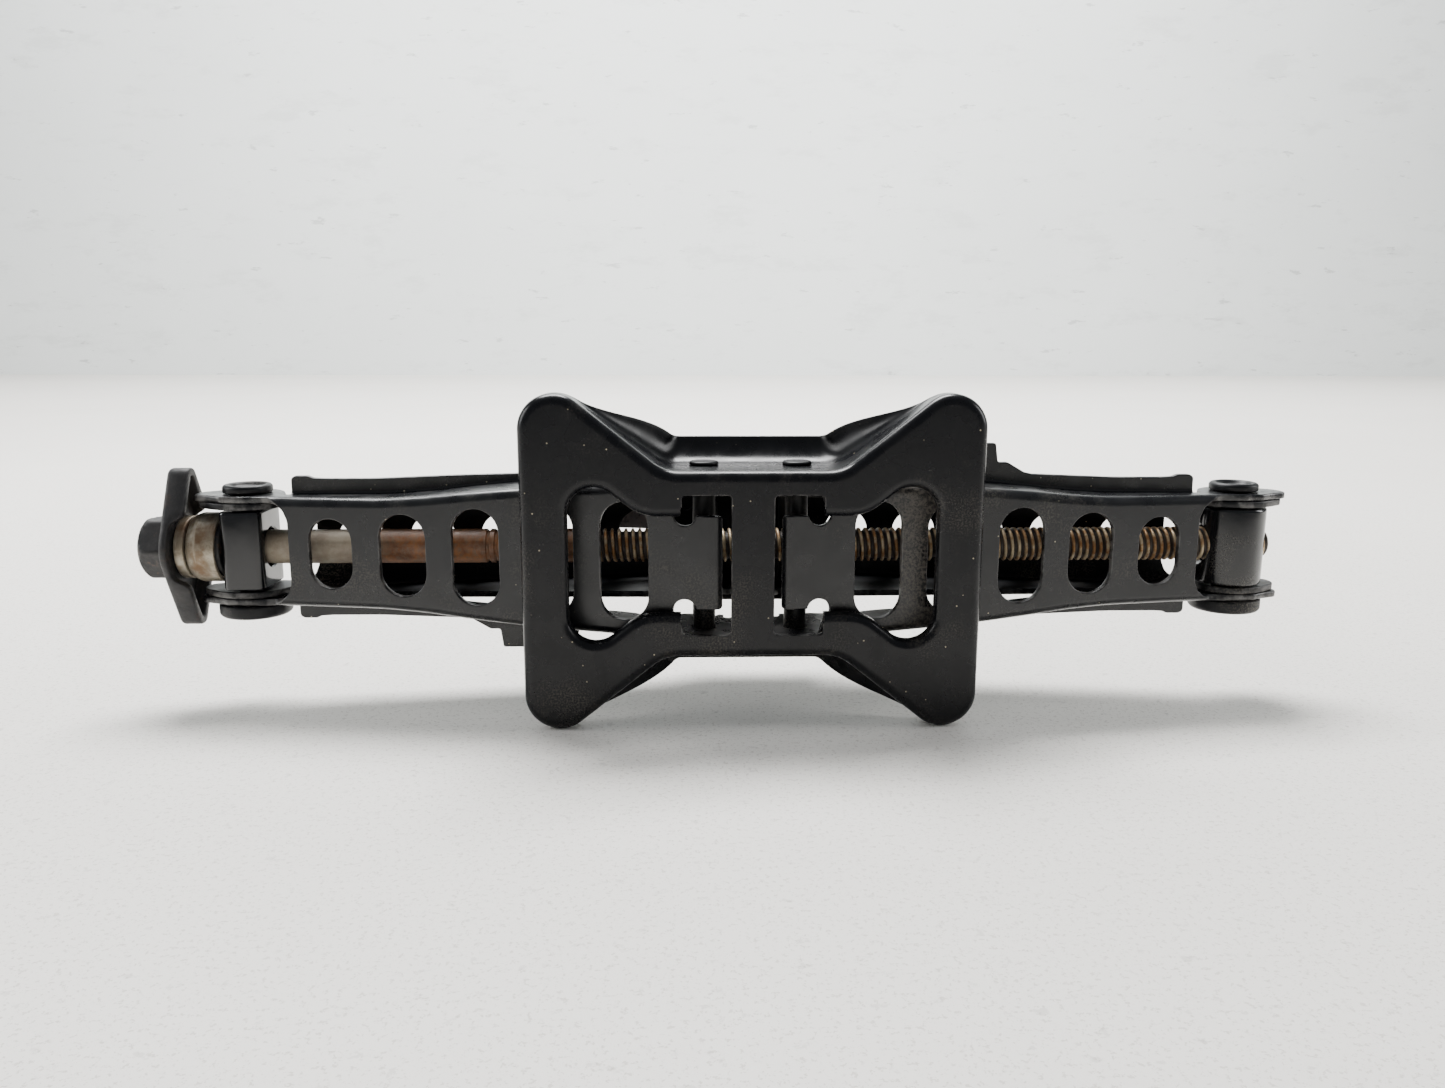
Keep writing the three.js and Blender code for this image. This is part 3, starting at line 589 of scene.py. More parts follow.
def pan_rows(skin, flat, outline, sections, away):
    """Rows of vertices that carry sections along an outline, each at its offset and its Y."""
    rows, count = [], sections.shape[1]
    for k in range(count):
        place = outline + sections[:, k, :1] * away
        # The section's sheared edge carries the mark that the coats lighten as edge wear and as a painted
        # highlight.
        worn = float(abs(k - (count - 1) / 2) < 2)
        level = {0: (0, -1, 0), count - 1: (0, 1, 0)}.get(k)
        normals = [level] * len(outline) if level else None
        points = np.stack([place[:, 0], sections[:, k, 1], place[:, 1]], 1)
        rows.append(skin.add(points, worn, normals))
        flat.update(zip(rows[-1], map(tuple, place)))
    return rows


def base_opening(skin, flat, side):
    """The slot beside the bar, with its raw edge, and the window past it, with its rolled lip."""
    path = np.array(window_path(side))
    away = outward(path, closed=False)
    away = -away if away[0][1] < 0 else away
    away[0], away[-1] = (0, 1), (0, -1)
    section = np.array(roll_section())
    columns = pan_rows(skin, flat, path, np.repeat(section[None], len(path), 0), -away)
    skin.bands(columns, closed=False)
    for end in (0, -1):
        for k in range(len(columns) // 2 - 1):
            skin.faces.append((columns[k][end], columns[k + 1][end],
                               columns[-2 - k][end], columns[-1 - k][end]))
    meet = NECK_HALF + ROLL_BEND + 0.4
    edge = [(SLOT_END_X, -meet), (SLOT_END_X, -SLOT_HALF), (BAR_HALF, -SLOT_HALF),
            (BAR_HALF, SLOT_HALF), (SLOT_END_X, SLOT_HALF), (SLOT_END_X, meet)]
    edge = spaced(rounded(edge, 1.5, 4, closed=False), 1.2, closed=False)
    edge = np.array([(side * x, z) for x, z in edge])
    into = outward(edge, closed=False)
    into = -into if into[0][0] * side < 0 else into
    rim = np.array(rim_steps(BASE_SHEET))
    rows = pan_rows(skin, flat, edge, np.repeat(rim[None], len(edge), 0), into)
    for row, column in ((rows[0], columns[0]), (rows[-1], columns[-1])):
        row[0], row[-1] = column[-1], column[0]
    skin.bands(rows, closed=False)
    for end in (0, -1):
        skin.cap([row[end] for row in rows])
    return columns[0] + rows[0][1:-1], columns[-1] + rows[-1][1:-1]


def base_plate():
    skin, flat = Skin(), {}
    outline = np.array(base_outline())
    sections = np.array([thickened(flange_section(x), BASE_SHEET) for x, _ in outline])
    rows = pan_rows(skin, flat, outline, sections, outward(outline))
    skin.bands(rows)
    fronts, backs = [rows[0]], [rows[-1]]
    for side in (1, -1):
        front, back = base_opening(skin, flat, side)
        fronts.append(front)
        backs.append(back)
    skin.fill(fronts, flat)
    skin.fill(backs, flat)
    return skin


# ---- Saddle ----
SADDLE_TOP_Y = 78.4
SADDLE_HALF_LENGTH, SADDLE_HALF_WIDTH, SADDLE_BEND = 31.0, 23.0, 3.0
SADDLE_EAR_RADIUS = 10.5
CURB_X, CURB_BEND, CURB_HALF, CURB_HEIGHT = 27.1, 1.5, 17.0, 5.0
SADDLE_FLAT = SADDLE_HALF_WIDTH - SADDLE_BEND


def saddle_surface(x, v):
    s = np.abs(v)
    turn = np.clip((s - SADDLE_FLAT) / SADDLE_BEND, 0, QUARTER)
    z = np.minimum(s, SADDLE_FLAT) + SADDLE_BEND * np.sin(turn)
    down = np.maximum(s - SADDLE_FLAT - SADDLE_BEND * QUARTER, 0)
    y = SADDLE_TOP_Y - SADDLE_BEND * (1 - np.cos(turn)) - down
    over = np.where(s < CURB_HALF + 0.6, np.maximum(np.abs(x) - CURB_X, 0), 0)
    curb = np.minimum(over / CURB_BEND, QUARTER)
    y = y + CURB_BEND * (1 - np.cos(curb)) + np.maximum(over - CURB_BEND * QUARTER, 0)
    length = np.abs(x) - over + CURB_BEND * np.sin(curb)
    return np.stack([np.sign(x) * length, y, -np.sign(v) * z], 1)


def saddle():
    def wall(x, y):
        return x, SADDLE_FLAT + SADDLE_BEND * QUARTER + SADDLE_TOP_Y - SADDLE_BEND - y

    curb_end = CURB_X + CURB_BEND * QUARTER + CURB_HEIGHT - CURB_BEND
    relief = CURB_HALF + 1.5
    quarter = [(curb_end, 0), (curb_end, CURB_HALF), (CURB_X, CURB_HALF), (CURB_X, relief),
               (SADDLE_HALF_LENGTH, relief), wall(SADDLE_HALF_LENGTH, SADDLE_TOP_Y - 8)]
    quarter += [wall(x, y) for x, y in arc(PIVOT_X, SADDLE_PIVOT_Y, SADDLE_EAR_RADIUS, 0, -90, 12)]
    quarter.append(wall(0, SADDLE_PIVOT_Y - SADDLE_EAR_RADIUS))
    outline = spaced(rounded(mirror_round(quarter), 2.0, 4), 1.1)
    grid = []
    for x in np.linspace(-curb_end, curb_end, 47):
        s = [SADDLE_FLAT * k / 7 for k in range(8)]
        s += [SADDLE_FLAT + SADDLE_BEND * QUARTER * k / 6 for k in range(1, 7)]
        s += list(np.arange(SADDLE_FLAT + SADDLE_BEND * QUARTER + 3, 56, 3.2))
        grid += [(x, way * d) for d in s for way in (1, -1) if d > 0 or way > 0]
    return pressed(saddle_surface, [outline], grid, SHEET)


# ---- Turned pieces ----
def add_turned(skin, profile, sides=96, across=None, ring=False):
    """Adds a profile of (radius, place along the axis), turned round the screw or across it at (x, y)."""
    turn = np.linspace(0, 2 * math.pi, sides, endpoint=False)
    rows = []
    for radius, along in profile:
        c, s = radius * np.cos(turn), radius * np.sin(turn)
        level = np.full(sides, float(along))
        if across is None:
            points = np.stack([level, SCREW_Y + c, s], 1)
        else:
            points = np.stack([across[0] + c, across[1] + s, level], 1)
        rows.append(skin.add(points))
    skin.bands(rows + rows[:1] if ring else rows)


def turned(profile, corner=0.4, across=None, ring=False):
    """A turned piece with its profile's corners rounded."""
    skin = Skin()
    add_turned(skin, rounded(profile, corner, 4, closed=ring), across=across, ring=ring)
    return skin


# ---- Screw ----
SCREW_RADIUS = 6.25
PITCH, THREAD_DEPTH = 2.54, 1.15
THREAD_START_X, SCREW_END_X = -64.0, 194.5
STUB_START_X, STUB_END_X, STUB_RADIUS = -205.6, -216.0, 4.7
GROOVES_X = (-95.0, -92.0)
AROUND, ALONG_PITCH = 48, 12


def thread_radius(x, phase):
    """The rolled thread's radius: rounded crests, wider rounded roots, and a run-out at each end."""
    from_crest = np.abs(phase - 0.5) * 2
    valley = smoothstep(from_crest, 0.2, 0.72)
    fade = smoothstep(x, THREAD_START_X, THREAD_START_X + 5)
    chamfer = np.maximum(0, x - SCREW_END_X + 1.6)
    return SCREW_RADIUS - np.maximum(THREAD_DEPTH * valley * fade, chamfer)


def lead_screw():
    skin = Skin()
    first = THREAD_START_X - 1.2 * PITCH
    count = math.ceil((SCREW_END_X + 1.2 * PITCH - first) / PITCH) * ALONG_PITCH
    share = np.arange(AROUND) / AROUND
    turn = 2 * math.pi * share
    rows = []
    for i in range(count + 1):
        phase = i / ALONG_PITCH
        x = np.clip(first + (phase + share) * PITCH, THREAD_START_X, SCREW_END_X)
        radius = thread_radius(x, np.full(AROUND, phase % 1))
        radius = np.where(x >= SCREW_END_X, SCREW_RADIUS - 1.6, radius)
        rows.append(skin.add(np.stack([x, SCREW_Y + radius * np.cos(turn), radius * np.sin(turn)], 1)))
    for i in range(count):
        for j in range(AROUND - 1):
            skin.faces.append((rows[i][j], rows[i + 1][j], rows[i + 1][j + 1], rows[i][j + 1]))
        if i + 1 + ALONG_PITCH <= count:
            here, there = rows[i + ALONG_PITCH], rows[i + 1 + ALONG_PITCH]
            skin.faces.append((rows[i][-1], rows[i + 1][-1], there[0], here[0]))
    skin.cap(rows[0])
    skin.cap(rows[-1])
    shank = [(0, STUB_END_X), (STUB_RADIUS - 0.5, STUB_END_X), (STUB_RADIUS, STUB_END_X + 0.5),
             (STUB_RADIUS, STUB_START_X), (SCREW_RADIUS - 0.5, STUB_START_X),
             (SCREW_RADIUS, STUB_START_X + 0.5)]
    for x in GROOVES_X:
        shank += [(SCREW_RADIUS, x - 0.75), (SCREW_RADIUS - 0.5, x - 0.45), (SCREW_RADIUS - 0.65, x),
                  (SCREW_RADIUS - 0.5, x + 0.45), (SCREW_RADIUS, x + 0.75)]
    shank += [(SCREW_RADIUS, THREAD_START_X), (0, THREAD_START_X)]
    add_turned(skin, shank)
    return skin


# ---- Drive end ----
def bearing_cup():
    bore, radius, left, right, wall = SCREW_RADIUS + 0.3, 12.7, -201.4, -190.6, 1.5
    return turned([(bore, left), (radius - 2.2, left), (radius - 0.8, left + 1.0), (radius, left + 3.2),
                   (radius, right), (radius - wall, right), (radius - wall, left + wall),
                   (bore, left + wall)], 0.5, ring=True)


def thrust_race():
    inner, outer, left, right = 7.2, 10.8, -199.3, -189.5
    middle = (left + right) / 2
    return turned([(inner, left), (outer, left), (outer, middle - 2), (outer - 0.8, middle - 1.4),
                   (outer - 0.8, middle + 1.4), (outer, middle + 2), (outer, right), (inner, right)],
                  0.5, ring=True)


def drive_washer():
    bore, radius, left, right = SCREW_RADIUS + 0.3, 11.5, -205.3, -201.8
    return turned([(bore, left), (radius, left), (radius, right), (bore, right)], 0.6, ring=True)


def hex_head():
    """The drive hex: its flats cut by a domed turning, with its corners toward the base."""
    flats, left, right = 10.5, -220.4, -209.3
    skin, sides = Skin(), 144
    turn = np.linspace(0, 2 * math.pi, sides, endpoint=False)
    hexagon = np.minimum(flats / np.cos((turn % (math.pi / 3)) - math.pi / 6), flats * 1.135)
    long = right - left
    dome = [(2.5, 0.05), (5, 0.3), (7, 0.75), (8.6, 1.3), (9.8, 1.95), (10.6, 2.6), (11.3, 3.4),
            (11.8, 4.4), (12.1, 5.6), (12.1, 8.0), (12.1, long - 0.8), (11.6, long - 0.25),
            (11.0, long), (STUB_RADIUS, long)]
    rows = [skin.add([(left, SCREW_Y, 0)] * sides)]
    for limit, along in dome:
        radius = np.minimum(hexagon, limit)
        points = [np.full(sides, left + along), SCREW_Y + radius * np.cos(turn), radius * np.sin(turn)]
        rows.append(skin.add(np.stack(points, 1)))
    skin.bands(rows)
    skin.cap(rows[-1])
    return skin


def add_prism(skin, outline, low, high, place, edge=0.6, steps=4):
    """A closed outline drawn out between two levels, with its edges rounded. place puts (u, v, level)."""
    outline = np.array(anticlockwise(outline))
    normal = outward(outline)
    turn = np.linspace(0, QUARTER, steps + 1)
    ends = [(edge * (1 - math.sin(a)), low + edge * (1 - math.cos(a))) for a in turn]
    rows = []
    for inset, level in ends + [(inset, low + high - level) for inset, level in reversed(ends)]:
        points = outline - inset * normal
        rows.append(skin.add([place(u, v, level) for u, v in points]))
    skin.bands(rows)
    skin.cap(rows[0])
    skin.cap(rows[-1])


def round_box(half_u, half_v, radius, steps=8):
    quarter = arc(half_u - radius, half_v - radius, radius, 0, 90, steps)
    return spaced(mirror_round([(half_u, 0)] + quarter + [(0, half_v)]), 3)


def cut(piece, skin):
    """Takes a skin's volume out of a piece."""
    mesh = bpy.data.meshes.new("cutter")
    mesh.from_pydata((np.array(skin.points) * MM).tolist(), [], skin.faces)
    work = bmesh.new()
    work.from_mesh(mesh)
    bmesh.ops.remove_doubles(work, verts=work.verts, dist=2e-6)
    bmesh.ops.recalc_face_normals(work, faces=work.faces)
    work.to_mesh(mesh)
    work.free()
    cutter = bpy.data.objects.new("cutter", mesh)
    bpy.context.scene.collection.objects.link(cutter)
    modifier = piece.modifiers.new("cut", "BOOLEAN")
    modifier.operation = "DIFFERENCE"
    modifier.solver = "EXACT"
    modifier.object = cutter
    bpy.context.view_layer.update()
    shape = piece.evaluated_get(bpy.context.evaluated_depsgraph_get())
    made = bpy.data.meshes.new_from_object(shape)
    piece.modifiers.clear()
    piece.data = made
    bpy.data.objects.remove(cutter)
    made.set_sharp_from_angle(angle=math.radians(34))


def screw_bore(radius, left, right):
    """The space of a bore along the screw, with a flare at each end that breaks its edge."""
    skin = Skin()
    add_turned(skin, [(0, left - 9), (radius + 9, left - 9), (radius, left + 0.5), (radius, right - 0.5),
                      (radius + 9, right + 9), (0, right + 9)])
    return skin


# ---- Trunnions, rivets and pins ----
TRUNNION_Z = 14.3  # half the length of the block and the nut
BLOCK_HALF_X, BLOCK_HALF_Y, BLOCK_CORNER, BLOCK_BORE = 7.4, 11.2, 3.0, 7.2
NUT_RADIUS, NUT_BORE = 12.0, 6.55
BASE_PIN_REACH, SADDLE_PIN_REACH = 33.5, 24.5
UPPER_RIVET = [(0, 9.1), (5, 9.1), (5, 20.2), (8.6, 20.2), (8.6, 22.4), (7.8, 23.2), (6.4, 23.2),
               (5.2, 21.8), (0, 21.8)]  # radius and height
LOWER_RIVET = [(0, -23.6), (6, -23.6), (7.5, -25), (11.6, -25), (12.65, -24), (12.65, -20.2),
               (5, -20.2), (5, -9.1), (0, -9.1)]


def trunnion_block():
    """The left block: a rounded bar across the arms, before its bore is cut."""
    skin = Skin()
    outline = round_box(BLOCK_HALF_X, BLOCK_HALF_Y, BLOCK_CORNER)
    add_prism(skin, outline, -TRUNNION_Z, TRUNNION_Z,
              lambda u, v, level: (-TRUNNION_X + u, SCREW_Y + v, level), edge=1.0)
    return skin


def nut_barrel():
    profile = [(0, -TRUNNION_Z), (NUT_RADIUS, -TRUNNION_Z), (NUT_RADIUS, TRUNNION_Z), (0, TRUNNION_Z)]
    return turned(profile, 1.1, across=(TRUNNION_X, SCREW_Y))


def pin(x, y, reach):
    """A pivot pin with a low riveted head at each end; reach is the height of the heads."""
    return turned([(0, -reach), (4.6, -reach), (5.15, -reach + 0.5), (5.15, -reach + 1.2),
                   (4, -reach + 1.2), (4, reach - 1.2), (5.15, reach - 1.2), (5.15, reach - 0.5),
                   (4.6, reach), (0, reach)], 0.35, across=(x, y))


PLATE_TIP, PLATE_SIDE, PLATE_POINT = 29.0, 17.2, 34.0


def plate_outline(inset):
    """The drive plate's outline in Z and Y, moved inwards, always with the same number of points."""
    apothem = PLATE_SIDE * PLATE_POINT / math.hypot(PLATE_SIDE, PLATE_POINT)
    scale = (apothem - inset) / apothem
    side, tip = PLATE_SIDE * scale, PLATE_TIP - inset
    slope = side * (1 - tip / (PLATE_POINT * scale))
    corners = [(-tip, -slope), (0, -side), (tip, -slope), (tip, slope), (0, side), (-tip, slope)]
    bent, steps, outline = rounded(corners, 6.0, 6), 7, []
    for i, here in enumerate(bent):
        there = bent[(i + 1) % len(bent)]
        pieces = 16 if i % steps == steps - 1 else 1
        outline += [(here[0] + (there[0] - here[0]) * k / pieces,
                     here[1] + (there[1] - here[1]) * k / pieces) for k in range(pieces)]
    return np.array(outline)


def drive_plate():
    """A small rhombic pan: a flat floor with a bore, and a wall along the outside of each long end."""
    floor_x, wall_x, left = -206.0, -201.2, -209.0
    high = smoothstep(np.abs(plate_outline(0)[:, 0]), 9.5, 13.5)
    top = floor_x + (wall_x - floor_x) * high
    skin, rim = Skin(), []

    def row(inset, x):
        at = plate_outline(inset)
        level = np.broadcast_to(x, len(at))
        return skin.add(np.stack([level, SCREW_Y + at[:, 1], at[:, 0]], 1))

    for a in np.linspace(0, QUARTER, 6):
        rim.append(row(1.8 * (1 - math.sin(a)), left + 1.8 * (1 - math.cos(a))))
    rim += [row(0, top - 0.6), row(0.2, top - 0.2), row(0.6, top)]
    rim += [row(2.4, top), row(2.8, top - 0.2 * high), row(3.0, top - 0.6 * high)]
    for a in np.linspace(0, QUARTER, 5):
        rim.append(row(3.0 + 0.9 * (1 - math.cos(a)), floor_x + 0.9 * high * (1 - math.sin(a))))
    skin.bands(rim)
    turn = np.linspace(0, 2 * math.pi, 48, endpoint=False)
    ring = np.stack([5.0 * np.cos(turn), 5.0 * np.sin(turn)], 1)
    bores = []
    for grow, x in ((0.5, left), (0.15, left + 0.15), (0, left + 0.5), (0, floor_x - 0.5),
                    (0.15, floor_x - 0.15), (0.5, floor_x)):
        at = ring * (1 + grow / 5.0)
        # The bore's edges carry the mark that the coats lighten as edge wear and as a painted highlight.
        bores.append(skin.add(np.stack([np.full(48, x), SCREW_Y + at[:, 1], at[:, 0]], 1), 1.0))
    skin.bands(bores)
    for loops in ((rim[0], bores[0]), (rim[-1], bores[-1])):
        flat = {i: (skin.points[i][2], skin.points[i][1]) for loop in loops for i in loop}
        skin.fill(loops, flat)
    return skin


def label():
    """A thin sticker on the outer face of the upper left arm's web, with a lifted corner."""
    skin, rows = Skin(), []
    for back in (0.0, 0.12):
        for u in np.linspace(0, 1, 23):
            x = -52 + 22 * u
            line = []
            for v in np.linspace(0, 1, 17):
                z = 1.5 + 15.5 * v - 1.2 * u
                web = TWIN_Y - WEB_START_Y + WEB_SLOPE * x
                crease = 0.12 * math.sin(9 * u + 4 * v) + 0.10 * math.sin(17 * v - 5 * u)
                lift = 1.6 * max(0, u - 0.72) ** 2 * v * 8
                line.append((x, web + 0.42 + 0.15 * crease + lift - back, z))
            rows.append(skin.add(line))
    half = len(rows) // 2
    skin.bands(rows[:half], closed=False)
    skin.bands(rows[half:], closed=False)
    front = [r[0] for r in rows[:half]] + rows[half - 1][1:] + [r[-1] for r in rows[:half][-2::-1]]
    back = [r[0] for r in rows[half:]] + rows[-1][1:] + [r[-1] for r in rows[half:][-2::-1]]
    skin.band(front + rows[0][-2:0:-1], back + rows[half][-2:0:-1])
    return skin


# ---- Materials ----
class Finish:
    """A material being built: a Principled shader, and short ways to add what feeds it."""

    def __init__(self, name):
        self.material = bpy.data.materials.new(name)
        self.material.use_nodes = True
        self.nodes, self.links = self.material.node_tree.nodes, self.material.node_tree.links
        self.shader = self.nodes["Principled BSDF"]
        self.place = self.nodes.new("ShaderNodeTexCoord").outputs["Object"]

    def feed(self, node, **inputs):
        for key, value in inputs.items():
            socket = node.inputs[int(key[1:])] if key[0] == "i" and key[1:].isdigit() else node.inputs[key]
            if isinstance(value, bpy.types.NodeSocket):
                self.links.new(value, socket)
            else:
                socket.default_value = value
        return node

    def noise(self, scale, detail=4.0, roughness=0.55, stretch=None):
        place = self.place
        if stretch:
            node = self.feed(self.nodes.new("ShaderNodeMapping"), Vector=place, Scale=stretch)
            place = node.outputs[0]
        node = self.nodes.new("ShaderNodeTexNoise")
        self.feed(node, Vector=place, Scale=scale, Detail=detail, Roughness=roughness)
        return node.outputs["Fac"]

    def cells(self, scale):
        """Distance from the nearest of many scattered points, and a random value for each."""
        node = self.feed(self.nodes.new("ShaderNodeTexVoronoi"), Vector=self.place, Scale=scale)
        return node.outputs["Distance"], node.outputs["Color"]

    def level(self, value, low, high, to_low=0.0, to_high=1.0):
        node = self.nodes.new("ShaderNodeMapRange")
        node.interpolation_type = "SMOOTHSTEP"
        self.feed(node, i0=value, i1=low, i2=high, i3=to_low, i4=to_high)
        return node.outputs[0]

    def sum(self, operation, a, b):
        node = self.nodes.new("ShaderNodeMath")
        node.operation = operation
        self.feed(node, i0=a, i1=b)
        return node.outputs[0]

    def times(self, a, b):
        return self.sum("MULTIPLY", a, b)

    def patches(self, noise, low, high, to_low=0.0, to_high=1.0):
        """Noise (scale, detail, roughness and perhaps stretch), cut off between two levels."""
        return self.level(self.noise(*noise), low, high, to_low, to_high)

    def mix(self, share, a, b):
        node = self.nodes.new("ShaderNodeMix")
        node.data_type = "RGBA"
        colours = [c if isinstance(c, bpy.types.NodeSocket) else (*c, 1) for c in (a, b)]
        self.feed(node, i0=share, i6=colours[0], i7=colours[1])
        return node.outputs[2]

    def axis(self, index):
        """The X, Y or Z place on the piece, in millimetres."""
        node = self.feed(self.nodes.new("ShaderNodeSeparateXYZ"), Vector=self.place)
        return self.sum("MULTIPLY", node.outputs[index], 1 / MM)

    # The sheared-edge mark, lightened in the coats as edge wear and as a painted highlight.
    def wear_and_highlight(self):
        node = self.nodes.new("ShaderNodeAttribute")
        node.attribute_name = "wear_and_highlight"
        return node.outputs["Fac"]

    def bump(self, height, strength, distance):
        node = self.nodes.new("ShaderNodeBump")
        node.inputs["Strength"].default_value = strength
        node.inputs["Distance"].default_value = distance
        self.links.new(height, node.inputs["Height"])
        self.links.new(node.outputs[0], self.shader.inputs["Normal"])

    def set(self, **inputs):
        for key, value in inputs.items():
            name = key.replace("_", " ")
            if isinstance(value, bpy.types.NodeSocket):
                self.links.new(value, self.shader.inputs[name])
            elif isinstance(value, tuple):
                self.shader.inputs[name].default_value = (*value, 1)
            else:
                self.shader.inputs[name].default_value = value
        return self.material


def black_coat(name, gloss=0.36, dust=0.5, dirt_band=0.0, shine=0.25):
    """Black electrocoat with an orange-peel surface, dust, stray specks, and edges lightened to grey, partly
    as wear and partly as a painted highlight.
    """
    f = Finish(name)
    patches = f.patches((30, 5, 0.6), 0.5, 0.72)
    grains = f.patches((1500, 2, 0.6), 0.42, 0.66)
    dusty = f.times(f.times(patches, grains), dust)
    if dirt_band:
        fades = f.level(f.axis(0), 78, 66)
        begins = f.level(f.axis(0), 40, 58)
        coarse = f.patches((1100, 3, 0.7), 0.38, 0.62)
        drift = f.patches((60, 4, 0.6), 0.3, 0.55)
        band = f.times(f.times(fades, begins), f.times(coarse, drift))
        dusty = f.sum("MAXIMUM", dusty, f.times(band, dirt_band))
    near, pick = f.cells(330)
    speck = f.times(f.level(near, 0.12, 0.05), f.level(pick, 0.8, 0.86))
    rub = f.times(f.patches((220, 5, 0.7, (0.25, 1, 1)), 0.62, 0.75), 0.25)
    # Sheared edges lightened to grey: partly edge wear, partly a painted highlight.
    worn = f.times(f.wear_and_highlight(), f.patches((160, 4, 0.6), 0.42, 0.62))
    colour = f.mix(f.noise(55, 4, 0.6), (0.0016, 0.0018, 0.0026), (0.0034, 0.0037, 0.0052))
    colour = f.mix(dusty, colour, (0.17, 0.15, 0.125))
    colour = f.mix(f.times(rub, patches), colour, (0.10, 0.10, 0.105))
    colour = f.mix(f.times(worn, 0.55), colour, (0.16, 0.155, 0.15))
    colour = f.mix(speck, colour, (0.42, 0.37, 0.27))
    rough = f.patches((120, 3, 0.5), 0.3, 0.7, gloss - 0.05, gloss + 0.06)
    rough = f.sum("ADD", rough, f.times(f.sum("MAXIMUM", dusty, speck), 0.4))
    peel = f.sum("ADD", f.noise(420, 2, 0.5), f.times(dusty, 1.2))
    f.bump(peel, 0.07, 0.0002)
    return f.set(Base_Color=colour, Roughness=rough, Specular_IOR_Level=shine)


def screw_steel():
    """Bare steel: brown rust on the shank, and a thread with bright crests and dark, dirty roots."""
    f = Finish("screw_steel")
    up = f.sum("SUBTRACT", f.axis(1), SCREW_Y)
    across = f.axis(2)
    radius = f.sum("SQRT", f.sum("ADD", f.times(up, up), f.times(across, across)), 0)
    along = f.axis(0)
    blotch = f.patches((90, 5, 0.65), 0.36, 0.66)
    fine = f.noise(700, 4, 0.7)
    rust = f.mix(blotch, (0.12, 0.048, 0.020), (0.34, 0.135, 0.045))
    rust = f.mix(f.level(fine, 0.35, 0.75), rust, (0.19, 0.12, 0.075))
    greyed = f.mix(blotch, (0.20, 0.16, 0.12), (0.34, 0.29, 0.22))
    to_block = f.sum("ADD", along, f.times(f.noise(40, 3, 0.5), 40))
    shank = f.mix(f.level(to_block, -130, -108), greyed, rust)
    crest = f.mix(f.patches((130, 5, 0.7), 0.4, 0.62), (0.56, 0.46, 0.31), (0.30, 0.16, 0.07))
    depth = f.level(f.sum("ADD", radius, f.times(fine, 0.35)), 5.45, 6.3)
    thread = f.mix(depth, (0.028, 0.019, 0.012), crest)
    threaded = f.level(along, THREAD_START_X - 0.5, THREAD_START_X + 0.5)
    colour = f.mix(threaded, shank, thread)
    bare = f.times(f.times(depth, threaded), 0.75)
    rough = f.level(fine, 0.3, 0.7, 0.42, 0.66)
    f.bump(fine, 0.35, 0.0003)
    return f.set(Base_Color=colour, Roughness=rough, Metallic=bare)


def worn_zinc():
    """Dulled zinc plating on the cup and washer, stained brown and scratched round."""
    f = Finish("worn_zinc")
    blotch = f.patches((170, 5, 0.65), 0.38, 0.64)
    stain = f.patches((75, 4, 0.6), 0.46, 0.66)
    colour = f.mix(blotch, (0.20, 0.165, 0.12), (0.36, 0.32, 0.25))
    colour = f.mix(stain, colour, (0.14, 0.085, 0.045))
    worn = f.patches((260, 4, 0.6, (1, 0.15, 0.15)), 0.55, 0.72)
    colour = f.mix(f.times(worn, 0.6), colour, (0.55, 0.50, 0.40))
    rough = f.level(blotch, 0, 1, 0.5, 0.36)
    f.bump(f.noise(500, 4, 0.7), 0.3, 0.0003)
    return f.set(Base_Color=colour, Roughness=rough, Metallic=0.55)


def dark_iron(name, brown):
    """Phosphated iron: matt dark grey with a grainy surface and a little rust."""
    f = Finish(name)
    grain = f.noise(650, 5, 0.7)
    colour = f.mix(f.patches((70, 4, 0.6), 0.35, 0.65), (0.012, 0.012, 0.013), (0.024, 0.0225, 0.0225))
    colour = f.mix(f.times(f.patches((110, 5, 0.7), 0.55, 0.72), brown), colour,
                   (0.11, 0.06, 0.035))
    # Sheared edges lightened to grey: partly edge wear, partly a painted highlight.
    colour = f.mix(f.times(f.wear_and_highlight(), 0.3), colour, (0.12, 0.12, 0.12))
    rough = f.level(grain, 0.3, 0.7, 0.48, 0.64)
    f.bump(grain, 0.35, 0.0004)
    return f.set(Base_Color=colour, Roughness=rough, Metallic=0.25)


def label_paper():
    """A plain grey-pink paper sticker, creased and smudged, with nothing printed on it."""
    f = Finish("label_paper")
    smudge = f.patches((420, 4, 0.7), 0.5, 0.62)
    colour = f.mix(f.noise(90, 3, 0.5), (0.42, 0.38, 0.38), (0.52, 0.47, 0.47))
    colour = f.mix(f.times(smudge, 0.5), colour, (0.14, 0.12, 0.12))
    f.bump(f.noise(260, 3, 0.5), 0.3, 0.0004)
    return f.set(Base_Color=colour, Roughness=f.level(smudge, 0, 1, 0.6, 0.75))


def pale_floor():
    f = Finish("pale_floor")
    speck = f.patches((640, 3, 0.8), 0.56, 0.62)
    grit = f.patches((210, 4, 0.7), 0.60, 0.68)
    cloud = f.noise(3.5, 4, 0.6)
    colour = f.mix(cloud, (0.77, 0.745, 0.70), (0.86, 0.835, 0.79))
    colour = f.mix(f.times(speck, 0.42), colour, (0.34, 0.30, 0.26))
    colour = f.mix(f.times(grit, 0.30), colour, (0.30, 0.28, 0.26))
    f.bump(f.noise(500, 4, 0.7), 0.25, 0.0005)
    return f.set(Base_Color=colour, Roughness=f.level(speck, 0, 1, 0.6, 0.75))


